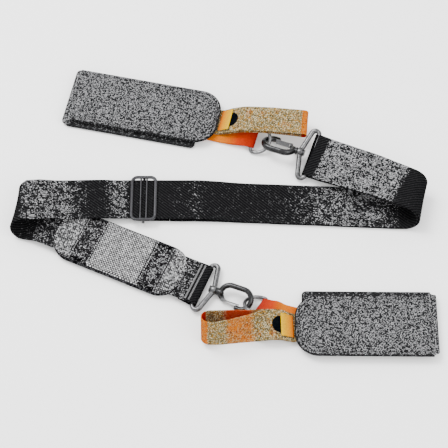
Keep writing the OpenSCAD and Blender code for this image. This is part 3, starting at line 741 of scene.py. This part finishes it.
# ---- the slider ----
SLIDER_LEN, SLIDER_H = 30.0, 58.0
SLIDER_SIDE_Z = SLIDER_Z + STRAP_T / 2 + 0.3
SLIDER_BAR_T = 2.2
RIDGE_X, RIDGE_HALF, LOW_BAR_HALF, POST_Y = 3.3, 26.6, 25.9, 27.4
SLIDER_BAR_Z, SLIDER_BAR_R = 3.3, 1.2


def rounded_box(w, h, r, steps=4):
    """Section of a bar with rounded edges."""
    out = []
    for k, (x, y) in enumerate(((1, 1), (-1, 1), (-1, -1), (1, -1))):
        for q in np.radians(np.linspace(90 * k, 90 * k + 90, steps + 1)):
            out.append((x * (w / 2 - r) + r * math.cos(q), y * (h / 2 - r) + r * math.sin(q)))
    return np.array(out)


def frame_path(w, h, cut, step=1.5):
    """A rectangle with cut corners, as even points."""
    x, y = w / 2, h / 2
    corners = np.array([(-x, y - cut), (cut - x, y), (x - cut, y), (x, y - cut),
                        (x, cut - y), (x - cut, -y), (cut - x, -y), (-x, cut - y)])
    out = []
    for a, b in zip(corners, np.roll(corners, -1, 0)):
        n = max(2, int(math.dist(a, b) / step))
        out += [a + (b - a) * i / n for i in range(n)]
    out = np.array(out)
    for _ in range(2):
        out = (np.roll(out, 1, 0) + 2 * out + np.roll(out, -1, 0)) / 4
    return out


def flat_frame(name, w, h, cut, z, section):
    path = at_height(frame_path(w, h, cut) + SLIDER_AT, z)
    up = np.tile([0.0, 0, 1], (len(path), 1))
    across = unit(np.cross(up, tangents(path, closed=True)))
    return loft(name, path, across, up, section, closed=True)


def slider_rod(name, ends, n, r, up, flat=1.0):
    """A straight rod between two points given from the slider's middle."""
    return wire(name, np.linspace(*ends, n) + [*SLIDER_AT, 0], r, up, flat=flat)


slider_z = SLIDER_SIDE_Z + SLIDER_BAR_T / 2
slider_parts = [
    flat_frame("slider_rim", SLIDER_LEN - 3.4, SLIDER_H - 3.2, 3.4, slider_z, rounded_box(3.5, 2.3, 0.8)),
    flat_frame("slider_lip", SLIDER_LEN - 1.5, SLIDER_H - 1.3, 4.0, slider_z + 0.7,
               rounded_box(0.9, 1.5, 0.4))]
for x in (-RIDGE_X, RIDGE_X):
    ends = [(x, y, slider_z + 0.1) for y in (-RIDGE_HALF, RIDGE_HALF)]
    slider_parts.append(slider_rod("slider_ridge", ends, 12, 1.05, (0, 0, 1), 0.9))
ends = [(0, y, SLIDER_BAR_Z) for y in (-LOW_BAR_HALF, LOW_BAR_HALF)]
slider_parts.append(slider_rod("slider_low_bar", ends, 12, SLIDER_BAR_R, (0, 0, 1)))
for y in (-POST_Y, POST_Y):
    ends = [(0, y, z) for z in (SLIDER_BAR_Z, SLIDER_SIDE_Z + 0.6)]
    slider_parts.append(slider_rod("slider_post", ends, 6, 1.5, (1, 0, 0), 1.1))
put(join(slider_parts, "slider_body"), "slider", SLIDER_METAL, "slider_metal", "slider_frame")
LOOP_T = 1.4
SLIDER_WRAP_R = SLIDER_BAR_R + 0.1 + LOOP_T / 2
sewn_core = course(
    (SLIDER_AT[0] + 29, SLIDER_AT[1], LOOP_T + 0.6, 90, 0, LOOP_T / 2 + 0.1),
    (SLIDER_AT[0] + 12, SLIDER_AT[1], LOOP_T + 0.7, 90, 0, LOOP_T / 2 + 0.2),
    (SLIDER_AT[0] + 5, SLIDER_AT[1], SLIDER_BAR_Z - 0.4, 90, 0, SLIDER_WRAP_R - 0.2),
    (*SLIDER_AT, SLIDER_BAR_Z, 90, 0, SLIDER_WRAP_R), n=3)
sewn_end = strip("slider_sewn_web", np.vstack([
    layer(sewn_core, 1), fold_round(sewn_core), layer(sewn_core, -1)[::-1]]),
    STRAP_W - 1, LOOP_T, lambda run, total: 0 * run + 0.12, passes=2)
put(sewn_end, "slider", PLAIN_WEB, "webbing", "slider_sewn_end")
sewn_lines = [[[SLIDER_AT[0] + x, SLIDER_AT[1] + y, 2 * LOOP_T + 1] for y in (-22, 22)]
              for x in (16, 26)]
put(stitches("slider_stitches", sewn_lines), "slider", THREAD, "sewing_thread", "slider_stitching")


# ---- padded plates ----
def spread(n, start, end):
    """n values from start to end, closer together at both ends."""
    return start + (end - start) * (1 - np.cos(np.linspace(0, math.pi, n))) / 2


def plate(name, x0, x1, half_width, z0, z1, place, edge, crown=0.0, open_ends=(), lift=None,
          tone_and_painted_light=0.5, grid=(110, 56), wrinkle=0.0, seam=None, dark_rim=0.0):
    """A soft closed plate between x0 and x1, rounded over the distance edge from its rim.

    half_width gives half its width at x. crown and wrinkle raise its top. open_ends are the ends
    that run on into a neighbour, so they aren't rounded. lift adds to the height of both faces
    at (x, y), and seam takes from the top. dark_rim is the width of a darker rim."""
    rim_points, crown_reach, open_reach, wave_count, wave_rate = 60, 16, 14, 7, 0.075
    nx, ny = grid
    xs = spread(nx, x0, x1)
    side = np.sin(np.linspace(-math.pi / 2, math.pi / 2, ny))
    half = np.array([half_width(x) for x in xs])
    x = np.repeat(xs[:, None], ny, axis=1)
    y = half[:, None] * side[None]
    rim = [np.stack([xs, half]), np.stack([xs, -half])]
    shut = [(row, at) for end, row, at in (("start", 0, x0), ("end", -1, x1)) if end not in open_ends]
    for row, at in shut:
        across = np.linspace(-half[row], half[row], rim_points)
        rim.append(np.stack([np.full(rim_points, at), across]))
    rim_x, rim_y = np.concatenate(rim, axis=1)
    d = np.sqrt(((x[..., None] - rim_x) ** 2 + (y[..., None] - rim_y) ** 2).min(axis=-1))
    d[:, [0, -1]] = 0
    for row, at in shut:
        d[row] = 0
    round_off = np.sqrt(1 - (1 - np.clip(d / edge, 0, 1)) ** 2)
    full = ease(d, 0, crown_reach)
    if "end" in open_ends:
        full *= 1 - ease(x, x1 - open_reach, x1)
    if "start" in open_ends:
        full *= ease(x, x0, x0 + open_reach)
    waves = np.zeros_like(x)
    for _ in range(wave_count):
        k = rng.normal(0, wave_rate, 2)
        waves += np.sin(k[0] * x + k[1] * y + rng.uniform(0, 6.28))
    zm = (z0 + z1) / 2
    top = zm + (z1 - zm) * round_off + (crown + waves * wrinkle / 2) * full
    bottom = zm - (zm - z0) * round_off
    if lift is not None:
        raised = lift(x, y)
        top, bottom = top + raised, bottom + raised
    if seam is not None:
        top = top - seam(x, d)
    points = np.concatenate([np.stack([x, y, z], -1).reshape(-1, 3) for z in (top, bottom)])
    sheet = nx * ny
    faces = []
    for i in range(nx - 1):
        for a in range(i * ny, i * ny + ny - 1):
            quad = (a, a + ny, a + ny + 1, a + 1)
            faces += [quad, tuple(k + sheet for k in quad[::-1])]
    for end, base in (("start", 0), ("end", sheet - ny)):
        if end in open_ends:
            faces += [(a, a + 1, a + 1 + sheet, a + sheet) for a in range(base, base + ny - 1)]
    share = np.full_like(d, tone_and_painted_light)
    if dark_rim:
        share *= 0.15 + 0.85 * ease(d, 0.4, dark_rim)
    obj = add_mesh(name, place(points), faces, points[:, 1::-1], np.tile(share.ravel(), 2))
    weld(obj)
    return obj


def weld(obj):
    """Join the two faces at the rim, and turn every face outwards."""
    bm = bmesh.new()
    bm.from_mesh(obj.data)
    bmesh.ops.remove_doubles(bm, verts=bm.verts, dist=1e-6)
    bmesh.ops.recalc_face_normals(bm, faces=bm.faces)
    bm.to_mesh(obj.data)
    bm.free()
    obj.data.shade_smooth()


def rounded_half(x, x0, x1, half, r0, r1):
    """Half width at x of a plate with corners of radius r0 at x0 and r1 at x1."""
    out = half
    if r0 and x < x0 + r0:
        out = half - r0 + math.sqrt(max(r0 * r0 - (x0 + r0 - x) ** 2, 0))
    if r1 and x > x1 - r1:
        out = min(out, half - r1 + math.sqrt(max(r1 * r1 - (x - x1 + r1) ** 2, 0)))
    return out


def rim_path(x0, x1, half_width, skip_end=False):
    """Points round the rim of a plate, or round all but its end."""
    xs = spread(90, x0, x1)
    half = np.array([half_width(x) for x in xs])
    start = [(x0, y) for y in np.linspace(-half[0], half[0], 12)[1:-1]]
    near = list(zip(xs, half))
    far = list(zip(xs, -half))[::-1]
    if skip_end:
        return np.array(far + start + near)
    end = [(x1, y) for y in np.linspace(half[-1], -half[-1], 12)[1:-1]]
    return np.array(near + end + far + start)


# ---- the shoulder pad ----
PAD_LEN, PAD_W, PAD_R, PAD_MID = 152.0, 62.0, 25.0, 98.0
PAD_TOP = CUSHION_T + STRAP_T + 0.8 + 1


def pad_place(points):
    points = np.asarray(points, float)
    return points @ rotation(0, 0, LOWER_AZIMUTH).T + lower_point(PAD_MID, 0)


def pad_half(inset):
    x1 = PAD_LEN / 2 - inset
    return lambda x: rounded_half(x, -x1, x1, PAD_W / 2 - inset, PAD_R - inset, PAD_R - inset)


cushion = plate("pad_cushion_body", -PAD_LEN / 2 + 0.8, PAD_LEN / 2 - 0.8, pad_half(0.8), 0.15,
                CUSHION_T - 0.2, pad_place, edge=3.2, tone_and_painted_light=0.3)
put(cushion, "pad", PAD_CLOTH, "pad_foam", "pad_cushion")
path = rim_path(-PAD_LEN / 2 + 1.2, PAD_LEN / 2 - 1.2, pad_half(1.2))
path = pad_place(at_height(path, CUSHION_T - 1.6))
piping = wire("pad_edge_binding", path, 1.5, sides=14, closed=True, flat=1.9, up=(0, 0, 1))
put(piping, "pad", EDGE_CLOTH, "binding", "pad_binding")


def pad_cover(name, x0, x1, material, node, open_ends):
    """A thin mesh over the strap, falling to the pad's edge at both sides."""
    width = pad_half(0.5)

    def fall(x, y):
        across = np.abs(y)
        edge = np.vectorize(width)(x)
        drop = PAD_TOP - CUSHION_T - 0.4
        return -drop * ease(across, 26.2, 30.6) - 0.25 * ease(across, edge - 2, edge)
    cover = plate(name, x0, x1, width, PAD_TOP - 0.9, PAD_TOP + 0.25, pad_place, edge=0.8,
                  open_ends=open_ends, lift=fall, wrinkle=0.35, grid=(60, 56))
    put(cover, "pad", material, "pad_mesh", node)


LEFT_CAP, RIGHT_CAP, SLEEVE, WINDOW, WELT_IN = 28.0, 23.0, 62.0, 20.0, 1.6
left_edge, right_edge = PAD_LEN / 2 - LEFT_CAP, RIGHT_CAP - PAD_LEN / 2
sleeve_end = left_edge - WINDOW
sleeve_start = sleeve_end - SLEEVE
pad_cover("pad_left_cap_mesh", left_edge, PAD_LEN / 2 - 0.6, PAD_MESH, "pad_left_cap", ("start",))
pad_cover("pad_right_cap_mesh", 0.6 - PAD_LEN / 2, right_edge, PAD_MESH, "pad_right_cap", ("end",))
pad_cover("pad_sleeve_mesh", sleeve_start, sleeve_end, BASKET_MESH, "pad_sleeve", ("start", "end"))
welts = []
for x in (left_edge + WELT_IN, right_edge - WELT_IN, sleeve_end - WELT_IN, sleeve_start + WELT_IN):
    line = np.linspace((x, -25.5, PAD_TOP + 0.45), (x, 25.5, PAD_TOP + 0.45), 12)
    welts.append(wire("pad_seam_welt", pad_place(line), 0.55, sides=10, up=(0, 0, 1)))
put(join(welts, "pad_seam_welts"), "pad", EDGE_CLOTH, "binding")


# ---- the wraps ----
WRAP_W, PANEL_T, TAPE_T, TAPE_AIR = 72.0, 4.6, 1.0, 0.4
FRONT_LEN = [172.0, 148.0]
BACK_LEN = [FRONT_LEN[UPPER] - 21, FRONT_LEN[LOWER] - 8]
BACK_SHIFT = [4.0, 9.0]
WRAP_TIP = [np.array([-5.8, 133, 0]), np.array([75.4, -130.5, 0])]
WRAP_AZIMUTH = [168.0, -0.5]
TIP_R = 26.0
FRONT_Z = PANEL_T + 2 * TAPE_T + TAPE_AIR
FOLD_Z = FRONT_Z / 2 + PANEL_T / 2
PATCH_START = 40.0
SEAM_IN, SEAM_W, SEAM_DEPTH, STITCH_IN = 4.2, 0.9, 0.55, 4.6
LOOP_TAPE_IN, HOOK_TAPE_IN = 8.3, 10.3
STITCH_BOX = [(6, -15), (30, -15), (30, 15), (6, 15), (6, -15)]


def wrap_place(end, dy=0.0):
    turn = rotation(0, 0, WRAP_AZIMUTH[end]).T
    return lambda points: (np.asarray(points, float) + [0, dy, 0]) @ turn + WRAP_TIP[end]


def wrap(end):
    side, body = ENDS[end], ENDS[end] + "_wrap"
    length, x0 = FRONT_LEN[end], FRONT_LEN[end] - BACK_LEN[end]
    fold_x = length - 0.3
    place, back_place = wrap_place(end), wrap_place(end, BACK_SHIFT[end])

    def half_at(start, corner_r, inset=0.4):
        return lambda x: rounded_half(x, start + inset, length + 50, WRAP_W / 2 - inset, corner_r, 0)

    def panel_nodes(panel):
        return [side + panel + part for part in ("_cover", "_padding", "_binding")]

    def sewn_edge(x, d):
        """A shallow channel where the edge is sewn down."""
        channel = SEAM_DEPTH * np.exp(-((d - SEAM_IN) / SEAM_W) ** 2)
        return channel * (1 - ease(x, length - 10, length - 4))
    front = plate(side + "_front_panel", 0.4, fold_x, half_at(0, TIP_R - 0.4), FRONT_Z,
                  FRONT_Z + PANEL_T, place, edge=2.4, crown=0.7, open_ends=("end",), seam=sewn_edge,
                  grid=(150, 70), wrinkle=0.5, dark_rim=2.2)
    put(front, body, WRAP_CLOTH, "wrap_fabric", *panel_nodes("_front"))
    back = plate(side + "_back_panel", x0 + 0.4, fold_x, half_at(x0, 5), 0.1, PANEL_T,
                 back_place, edge=2.2, open_ends=("end",), grid=(110, 60), tone_and_painted_light=0.2, dark_rim=2.0)
    put(back, body + "_back", WRAP_CLOTH, "wrap_fabric", *panel_nodes("_back"))

    # The fold runs from the front panel round to the back panel
    r = FOLD_Z - PANEL_T / 2
    flat_in = np.linspace(5, 0.6, 5)
    line = [(fold_x - x, FOLD_Z + r) for x in flat_in]
    for q in np.radians(np.linspace(90, -90, 25)):
        line.append((fold_x + (r + 0.4) * math.cos(q), FOLD_Z + r * math.sin(q)))
    line += [(fold_x - x, FOLD_Z - r) for x in flat_in[::-1]]
    shift = np.linspace(0, BACK_SHIFT[end], len(line))
    centres = place([[x, s, z] for (x, z), s in zip(line, shift)])
    across = np.tile(rotation(0, 0, WRAP_AZIMUTH[end]) @ [0, 1, 0], (len(line), 1))
    fold = loft(side + "_fold_cloth", centres, across, unit(np.cross(tangents(centres), across)),
                rounded_box(WRAP_W - 1.4, PANEL_T + 0.15, 2.0, 5))
    dress(fold, WRAP_CLOTH)
    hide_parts(side + "_fold")
    hinge = (place([[length, 0, 2 * FOLD_Z], [length, 0, 0]]) + LAYOUT_SHIFT) * MM
    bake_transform(fold)

    loops = plate(side + "_loop_tape", PATCH_START + 0.3, length - 10.3,
                  lambda x: WRAP_W / 2 - LOOP_TAPE_IN, FRONT_Z - TAPE_T, FRONT_Z + 0.3, place,
                  edge=0.5, grid=(40, 24))
    put(loops, body, LOOP_TAPE, "loop_tape", side + "_loop_patch")
    hooks = plate(side + "_hook_tape_pile", x0 + 12.3, length - 14.3, lambda x: WRAP_W / 2 - HOOK_TAPE_IN,
                  PANEL_T - 0.3, PANEL_T + TAPE_T, back_place, edge=0.5, grid=(40, 24))
    put(hooks, body + "_back", HOOK_TAPE, "hook_tape", side + "_hook_tape")

    # Stitching: along the sewn edge, and the box that holds the webbing loops
    z = FRONT_Z + PANEL_T + 0.35
    rim = rim_path(STITCH_IN, length - 6, half_at(0, TIP_R - STITCH_IN, STITCH_IN), skip_end=True)
    edge_line = place(at_height(rim, z))
    box_line = place(at_height(STITCH_BOX, z + 0.75))
    put(stitches(side + "_wrap_stitches", [edge_line, box_line], 3.0, 2.1, 0.26), body, THREAD,
        "sewing_thread", side + "_tip_stitching")


for end in (UPPER, LOWER):
    wrap(end)


# ---- metal at both ends ----
BOSS_AT, BOSS_LEN, BOSS_R, BOSS_BORE_R = 14.5, 6.0, 4.6, 2.06
SHANK_R, RIVET_T, PLAY, COLLAR_R = 2.0, 1.6, 0.3, 4.4
RING_CORNER_R, SIDE_SLOPE, SIDE_Y = 4.5, 14.0, 3.2
RING_BAR = STRAP_W / 2 + 1 - 1.5
NECK_X, CROWN_X, NOSE_TURN, EYE_R, ROD_R = 22.5, 47.0, -195.0, 11.0, 3.0
DRING_R, DRING_BOW, DRING_CORNER = 2.0, 16.0, 3.0
RING_SWELL = 0.45
DRING_X = CROWN_X + EYE_R - ROD_R - DRING_R - 0.9 + DRING_BOW
DRING_BAR_X = DRING_X + DRING_CORNER
ARM_RADII = [(0, 3.0), (0.1, 3.05), (0.3, 3.1), (0.6, 3.0), (0.85, 2.9), (1, 3.0)]
LUG_Z, LUG_T, PIN_AT = -1.5, 1.8, (27.5, -6.5)


def arc(cx, cy, r, start, end, steps):
    q = np.radians(np.linspace(start, end, steps + 1))
    return np.stack([cx + r * np.cos(q), cy + r * np.sin(q)], axis=1)


def flat_path(points):
    points = np.asarray(points, float)
    keep = np.concatenate([[True], np.linalg.norm(np.diff(points, axis=0), axis=1) > 1e-6])
    return at_height(points[keep], 0)


def dense(points, step=1.5):
    out = [points[0]]
    for a, b in zip(points[:-1], points[1:]):
        n = max(1, int(np.linalg.norm(b - a) / step))
        out += [a + (b - a) * (k + 1) / n for k in range(n)]
    return np.array(out)


def hardware(end):
    side, at = ENDS[end], RING_AT[end]
    ring_turn, hook_turn, dring_turn = (turn_of(end, r) for r in (RING_ROLL[end], HOOK_ROLL, DRING_ROLL))
    axis, up = hook_turn[:, 0], hook_turn[:, 2]

    # Webbing ring and its swivel boss
    r = RING_CORNER_R
    slope = math.radians(SIDE_SLOPE)
    side_x = r + r * math.cos(slope) + (RING_BAR - SIDE_Y) * math.tan(slope)
    half = np.vstack([[[side_x, SIDE_Y]], arc(r, RING_BAR, r, SIDE_SLOPE, 180, 16)])
    path = dense(flat_path(np.vstack([half, half[::-1] * [1, -1]])))
    radii = RING_WIRE_R + RING_SWELL * ease(path[:, 0], 3, 6)
    ring = wire(side + "_ring_wire", path @ ring_turn.T + at, radii, ring_turn[:, 2], caps=0)
    b = BOSS_LEN / 2
    half_boss = [(-b, BOSS_BORE_R), (-b, BOSS_R - 0.5), (0.5 - b, BOSS_R), (1.4 - b, BOSS_R + 0.25)]
    profile = half_boss + [(0, BOSS_R + 0.35)] + [(-x, r) for x, r in half_boss[::-1]]
    boss = lathe(side + "_ring_boss", at + BOSS_AT * axis, axis, up, profile)
    put(join([ring, boss], side + "_ring_body"), side + "_ring", RING_METAL, "ring_metal",
        side + "_webbing_ring")

    # Hook: shank, collar, neck, arm round to the nose, and the lug that holds the gate
    shank_x = BOSS_AT - b - PLAY - RIVET_T
    collar_x = BOSS_AT + b + PLAY
    shank = lathe(side + "_shank", at, axis, up, [
        (shank_x, 0.05), (shank_x, SHANK_R - 0.2), (shank_x + 0.3, SHANK_R), (collar_x, SHANK_R),
        (collar_x, 3.6), (collar_x + 0.5, 4.3), (collar_x + 1.4, COLLAR_R), (collar_x + 2.0, 3.9),
        (collar_x + 2.8, 3.7), (NECK_X - 1, 4.3), (NECK_X + 1.2, 4.3), (NECK_X + 3, 3.2),
        (NECK_X + 4, 0.05)])
    path = dense(flat_path(np.vstack([arc(NECK_X + EYE_R, 0, EYE_R, 180, 90, 12),
                                      arc(CROWN_X, 0, EYE_R, 90, 90 + NOSE_TURN, 28)])))
    radii = np.interp(np.linspace(0, 1, len(path)), *np.transpose(ARM_RADII))
    arm = wire(side + "_hook_arm", path @ hook_turn.T + at, radii, up, flat=1.22, sides=24)
    pin_x, pin_y = PIN_AT
    outline = [(NECK_X - 2, 1), (NECK_X - 3, -3.6), (pin_x - 1.4, pin_y - 2.2),
               (pin_x + 0.4, pin_y - 2.3), (pin_x + 1.8, pin_y - 1.2), (pin_x + 1.8, pin_y + 1.0),
               (NECK_X + 3, 0)]
    points = np.array([[x, y, z] for z in (LUG_Z, LUG_Z + LUG_T) for x, y in outline])
    lug = add_mesh(side + "_lug", points @ hook_turn.T + at, tube_faces(2, len(outline)))
    lug.data.shade_flat()
    put(join([arm, shank, lug], side + "_hook_body"), side + "_hook", HOOK_METAL, "hook_metal",
        side + "_hook")

    # D-ring
    c, leg = DRING_CORNER, DRING_BOW
    path = flat_path(np.vstack([
        arc(DRING_X, 0, leg, 90, 270, 40), arc(DRING_X, c - leg, c, 270, 360, 8),
        arc(DRING_X, leg - c, c, 0, 90, 8)]))
    path = dense(np.vstack([path, path[:1]]))[:-1]
    dring = wire(side + "_dring_wire", path @ dring_turn.T + at, DRING_R, dring_turn[:, 2], closed=True)
    put(dring, side + "_dring", DRING_METAL, "dring_metal", side + "_dring")
    for node, material in (("gate", GATE_METAL), ("gate_pin", GATE_METAL), ("gate_spring", GATE_METAL),
                           ("swivel_rivet", HOOK_METAL)):
        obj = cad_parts[side + "_" + node]
        obj.data.materials.clear()
        obj.data.materials.append(material)


for end in (UPPER, LOWER):
    hardware(end)


# ---- orange webbing at the tips ----
HANDLE_W, RING_LOOP_W = 33.0, 23.0
STACKED_GAP = LOOP_T / 2 + 0.1
ROOT_LEN = [18.0, 3.0]
RING_LOOP_Z, HANDLE_ROOT_Z = 1.8, 5.15
RING_LOOP_SIDE = [12.0, 13.0]
DRING_FOLD_R = DRING_R + 0.3 + LOOP_T / 2


def ring_loop_core(end):
    turn = turn_of(end, DRING_ROLL)
    bar = RING_AT[end] + turn @ [DRING_BAR_X, 0, 0]
    root = wrap_place(end)([ROOT_LEN[end], RING_LOOP_SIDE[end], RING_LOOP_Z])
    way = unit([bar[0] - root[0], bar[1] - root[1], 0])
    side = math.degrees(math.atan2(way[1], way[0])) + 90
    across = -(turn @ [0, 1, 0])
    lead = ROOT_LEN[end]
    return course(
        (*root, side, 0, STACKED_GAP),
        (*(root + (lead + 2) * way), side, 0, STACKED_GAP),
        (*(root + (lead + 12) * way + [0, 0, 1]), side, 2, STACKED_GAP + 0.3),
        (*(bar - 12 * way - [0, 0, 0.2]), *across, DRING_FOLD_R - 0.6),
        (*bar, *across, DRING_FOLD_R), n=5)


handle_core = [
    course(
        (-24, 136.6, HANDLE_ROOT_Z, 78, 0, STACKED_GAP),
        (-14, 134.6, HANDLE_ROOT_Z, 78, 0, STACKED_GAP),
        (-4, 132.4, HANDLE_ROOT_Z + 0.2, 78.6, 0, STACKED_GAP),
        (3, 130.6, 9.4, 79.6, 0, 1.2),
        (11, 128.2, 15.4, 81, 0, 1.6),
        (25, 125.4, 22.4, 83, 0, 1.8),
        (46, 123.2, 24.2, 84, 0, 2),
        (70, 121.4, 23.4, 84.5, 0, 2.5),
        (92, 119.6, 21.6, 85, 0, 3.2), n=5),
    course(
        (82.2, -131.4, HANDLE_ROOT_Z, 269.5, 0, STACKED_GAP),
        (74, -131.5, HANDLE_ROOT_Z + 0.1, 269.5, 0, STACKED_GAP),
        (67.5, -131.7, 8.6, 270, -4, 1.2),
        (59, -132, 13.6, 270, -12, 1.8),
        (46, -133.4, 16.6, 270, -30, 3),
        (30, -135.2, 17.6, 270, -50, 5),
        (12, -136.6, 18.7, 270, -62, 7.4),
        (-6, -138, 19.3, 270, -68, 9),
        (-15, -138.2, 19.4, 270, -70, 9.2), n=5)]
TAB_FROM, TAB_LEN, TAB_W, TAB_T = [22.0, 9.5], [15.5, 16.0], [27.0, 25.0], 0.6
DISC_T, DISC_R = 0.5, 9.0
# Distances from the far tip of each handle, in millimetres, and how orange it is there, which also sets
# the painted red shade on its inner face
HANDLE_BANDS = [
    [(0, 1), (6.5, 1), (8, 0.1)],
    [(0, 1), (9, 1), (11, 0.05), (28, 0.08), (34, 0.62), (56, 0.62), (62, 0.12)]]
for end in (UPPER, LOWER):
    name, body = ENDS[end], ENDS[end] + "_wrap"
    bands = np.transpose(HANDLE_BANDS[end])
    handle = strip(name + "_handle_web", closed_loop(handle_core[end]), HANDLE_W, LOOP_T,
                   lambda run, total: np.interp(abs(run - total / 2), *bands), step=1.0, passes=3)
    put(handle, body, HANDLE_WEB, "orange_webbing", name + "_handle_loop")
    ring_web = strip(name + "_ring_loop_web", closed_loop(ring_loop_core(end)), RING_LOOP_W, LOOP_T,
                     lambda run, total: 1 - np.abs(2 * run / total - 1), step=1.0, passes=3, ripple=0.08)
    put(ring_web, body, RING_WEB, "red_webbing", name + "_ring_loop")
    tab_z = LOOP_T / 2 + DISC_T + TAB_T / 2 + 0.85
    tab_end = TAB_FROM[end] + TAB_LEN[end]
    rows = layer(span(handle_core[end], TAB_FROM[end], tab_end, 16), 1, tab_z)
    tab = strip(name + "_tab_web", rows, TAB_W[end], TAB_T, lambda run, total: run / total, passes=1,
                ripple=0.05)
    put(tab, body, TAB_WEB, "yellow_tab", name + "_tab")
    reach = DISC_R - 0.2
    rows = layer(span(handle_core[end], tab_end - reach, tab_end + reach, 24), 1,
                 LOOP_T / 2 + DISC_T / 2 + 0.5)
    widths = 2 * np.sqrt(DISC_R**2 - (reach * np.linspace(-1, 1, 25)) ** 2)
    disc = strip(name + "_disc_patch", rows, 2 * DISC_R, DISC_T, passes=0, ripple=0.0, step=0.8,
                 widths=widths)
    put(disc, body, PATCH_BLACK, "patch_black", name + "_round_patch")


# ---- floor, light and camera ----
bpy.ops.mesh.primitive_plane_add(size=12, location=(0, 0, -0.0005))
floor = bpy.context.object
floor.name = "studio_floor"
paper = Shader("pale_floor", Roughness=0.9, Specular_IOR_Level=0.1)
paper.surface.inputs["Base Color"].default_value = (0.93, 0.93, 0.93, 1)
floor.data.materials.append(paper.material)


def area_light(name, place, aim, size, power):
    data = bpy.data.lights.new(name, "AREA")
    data.energy = power
    data.size = size
    light = bpy.data.objects.new(name, data)
    light.location = place
    way = np.array(aim) - np.array(place)
    pitch = math.acos(-way[2] / np.linalg.norm(way))
    light.rotation_euler = (pitch, 0, math.atan2(way[1], way[0]) - math.pi / 2)
    bpy.context.scene.collection.objects.link(light)


area_light("key", (-0.9, 0.7, 1.9), (0, 0, 0), 1.1, 75)
area_light("fill", (1.3, -0.9, 1.6), (0, 0, 0), 1.6, 30)
world = bpy.data.worlds.new("studio")
bpy.context.scene.world = world
world.use_nodes = True
sky = world.node_tree.nodes["Background"].inputs
sky["Color"].default_value = (1, 1, 1, 1)
sky["Strength"].default_value = 2.0

CAMERA_DISTANCE, CAMERA_RISE = 1.75, 60.0
aim = LAYOUT_SHIFT * MM
camera_data = bpy.data.cameras.new("camera")
camera_data.sensor_width = 36
camera_data.lens = 36 * CAMERA_DISTANCE / 0.5
camera = bpy.data.objects.new("camera", camera_data)
rise = math.radians(CAMERA_RISE)
camera.location = (aim[0], aim[1] - CAMERA_DISTANCE * math.cos(rise), CAMERA_DISTANCE * math.sin(rise))
camera.rotation_euler = (math.radians(90 - CAMERA_RISE), 0, 0)
bpy.context.scene.collection.objects.link(camera)
bpy.context.scene.camera = camera
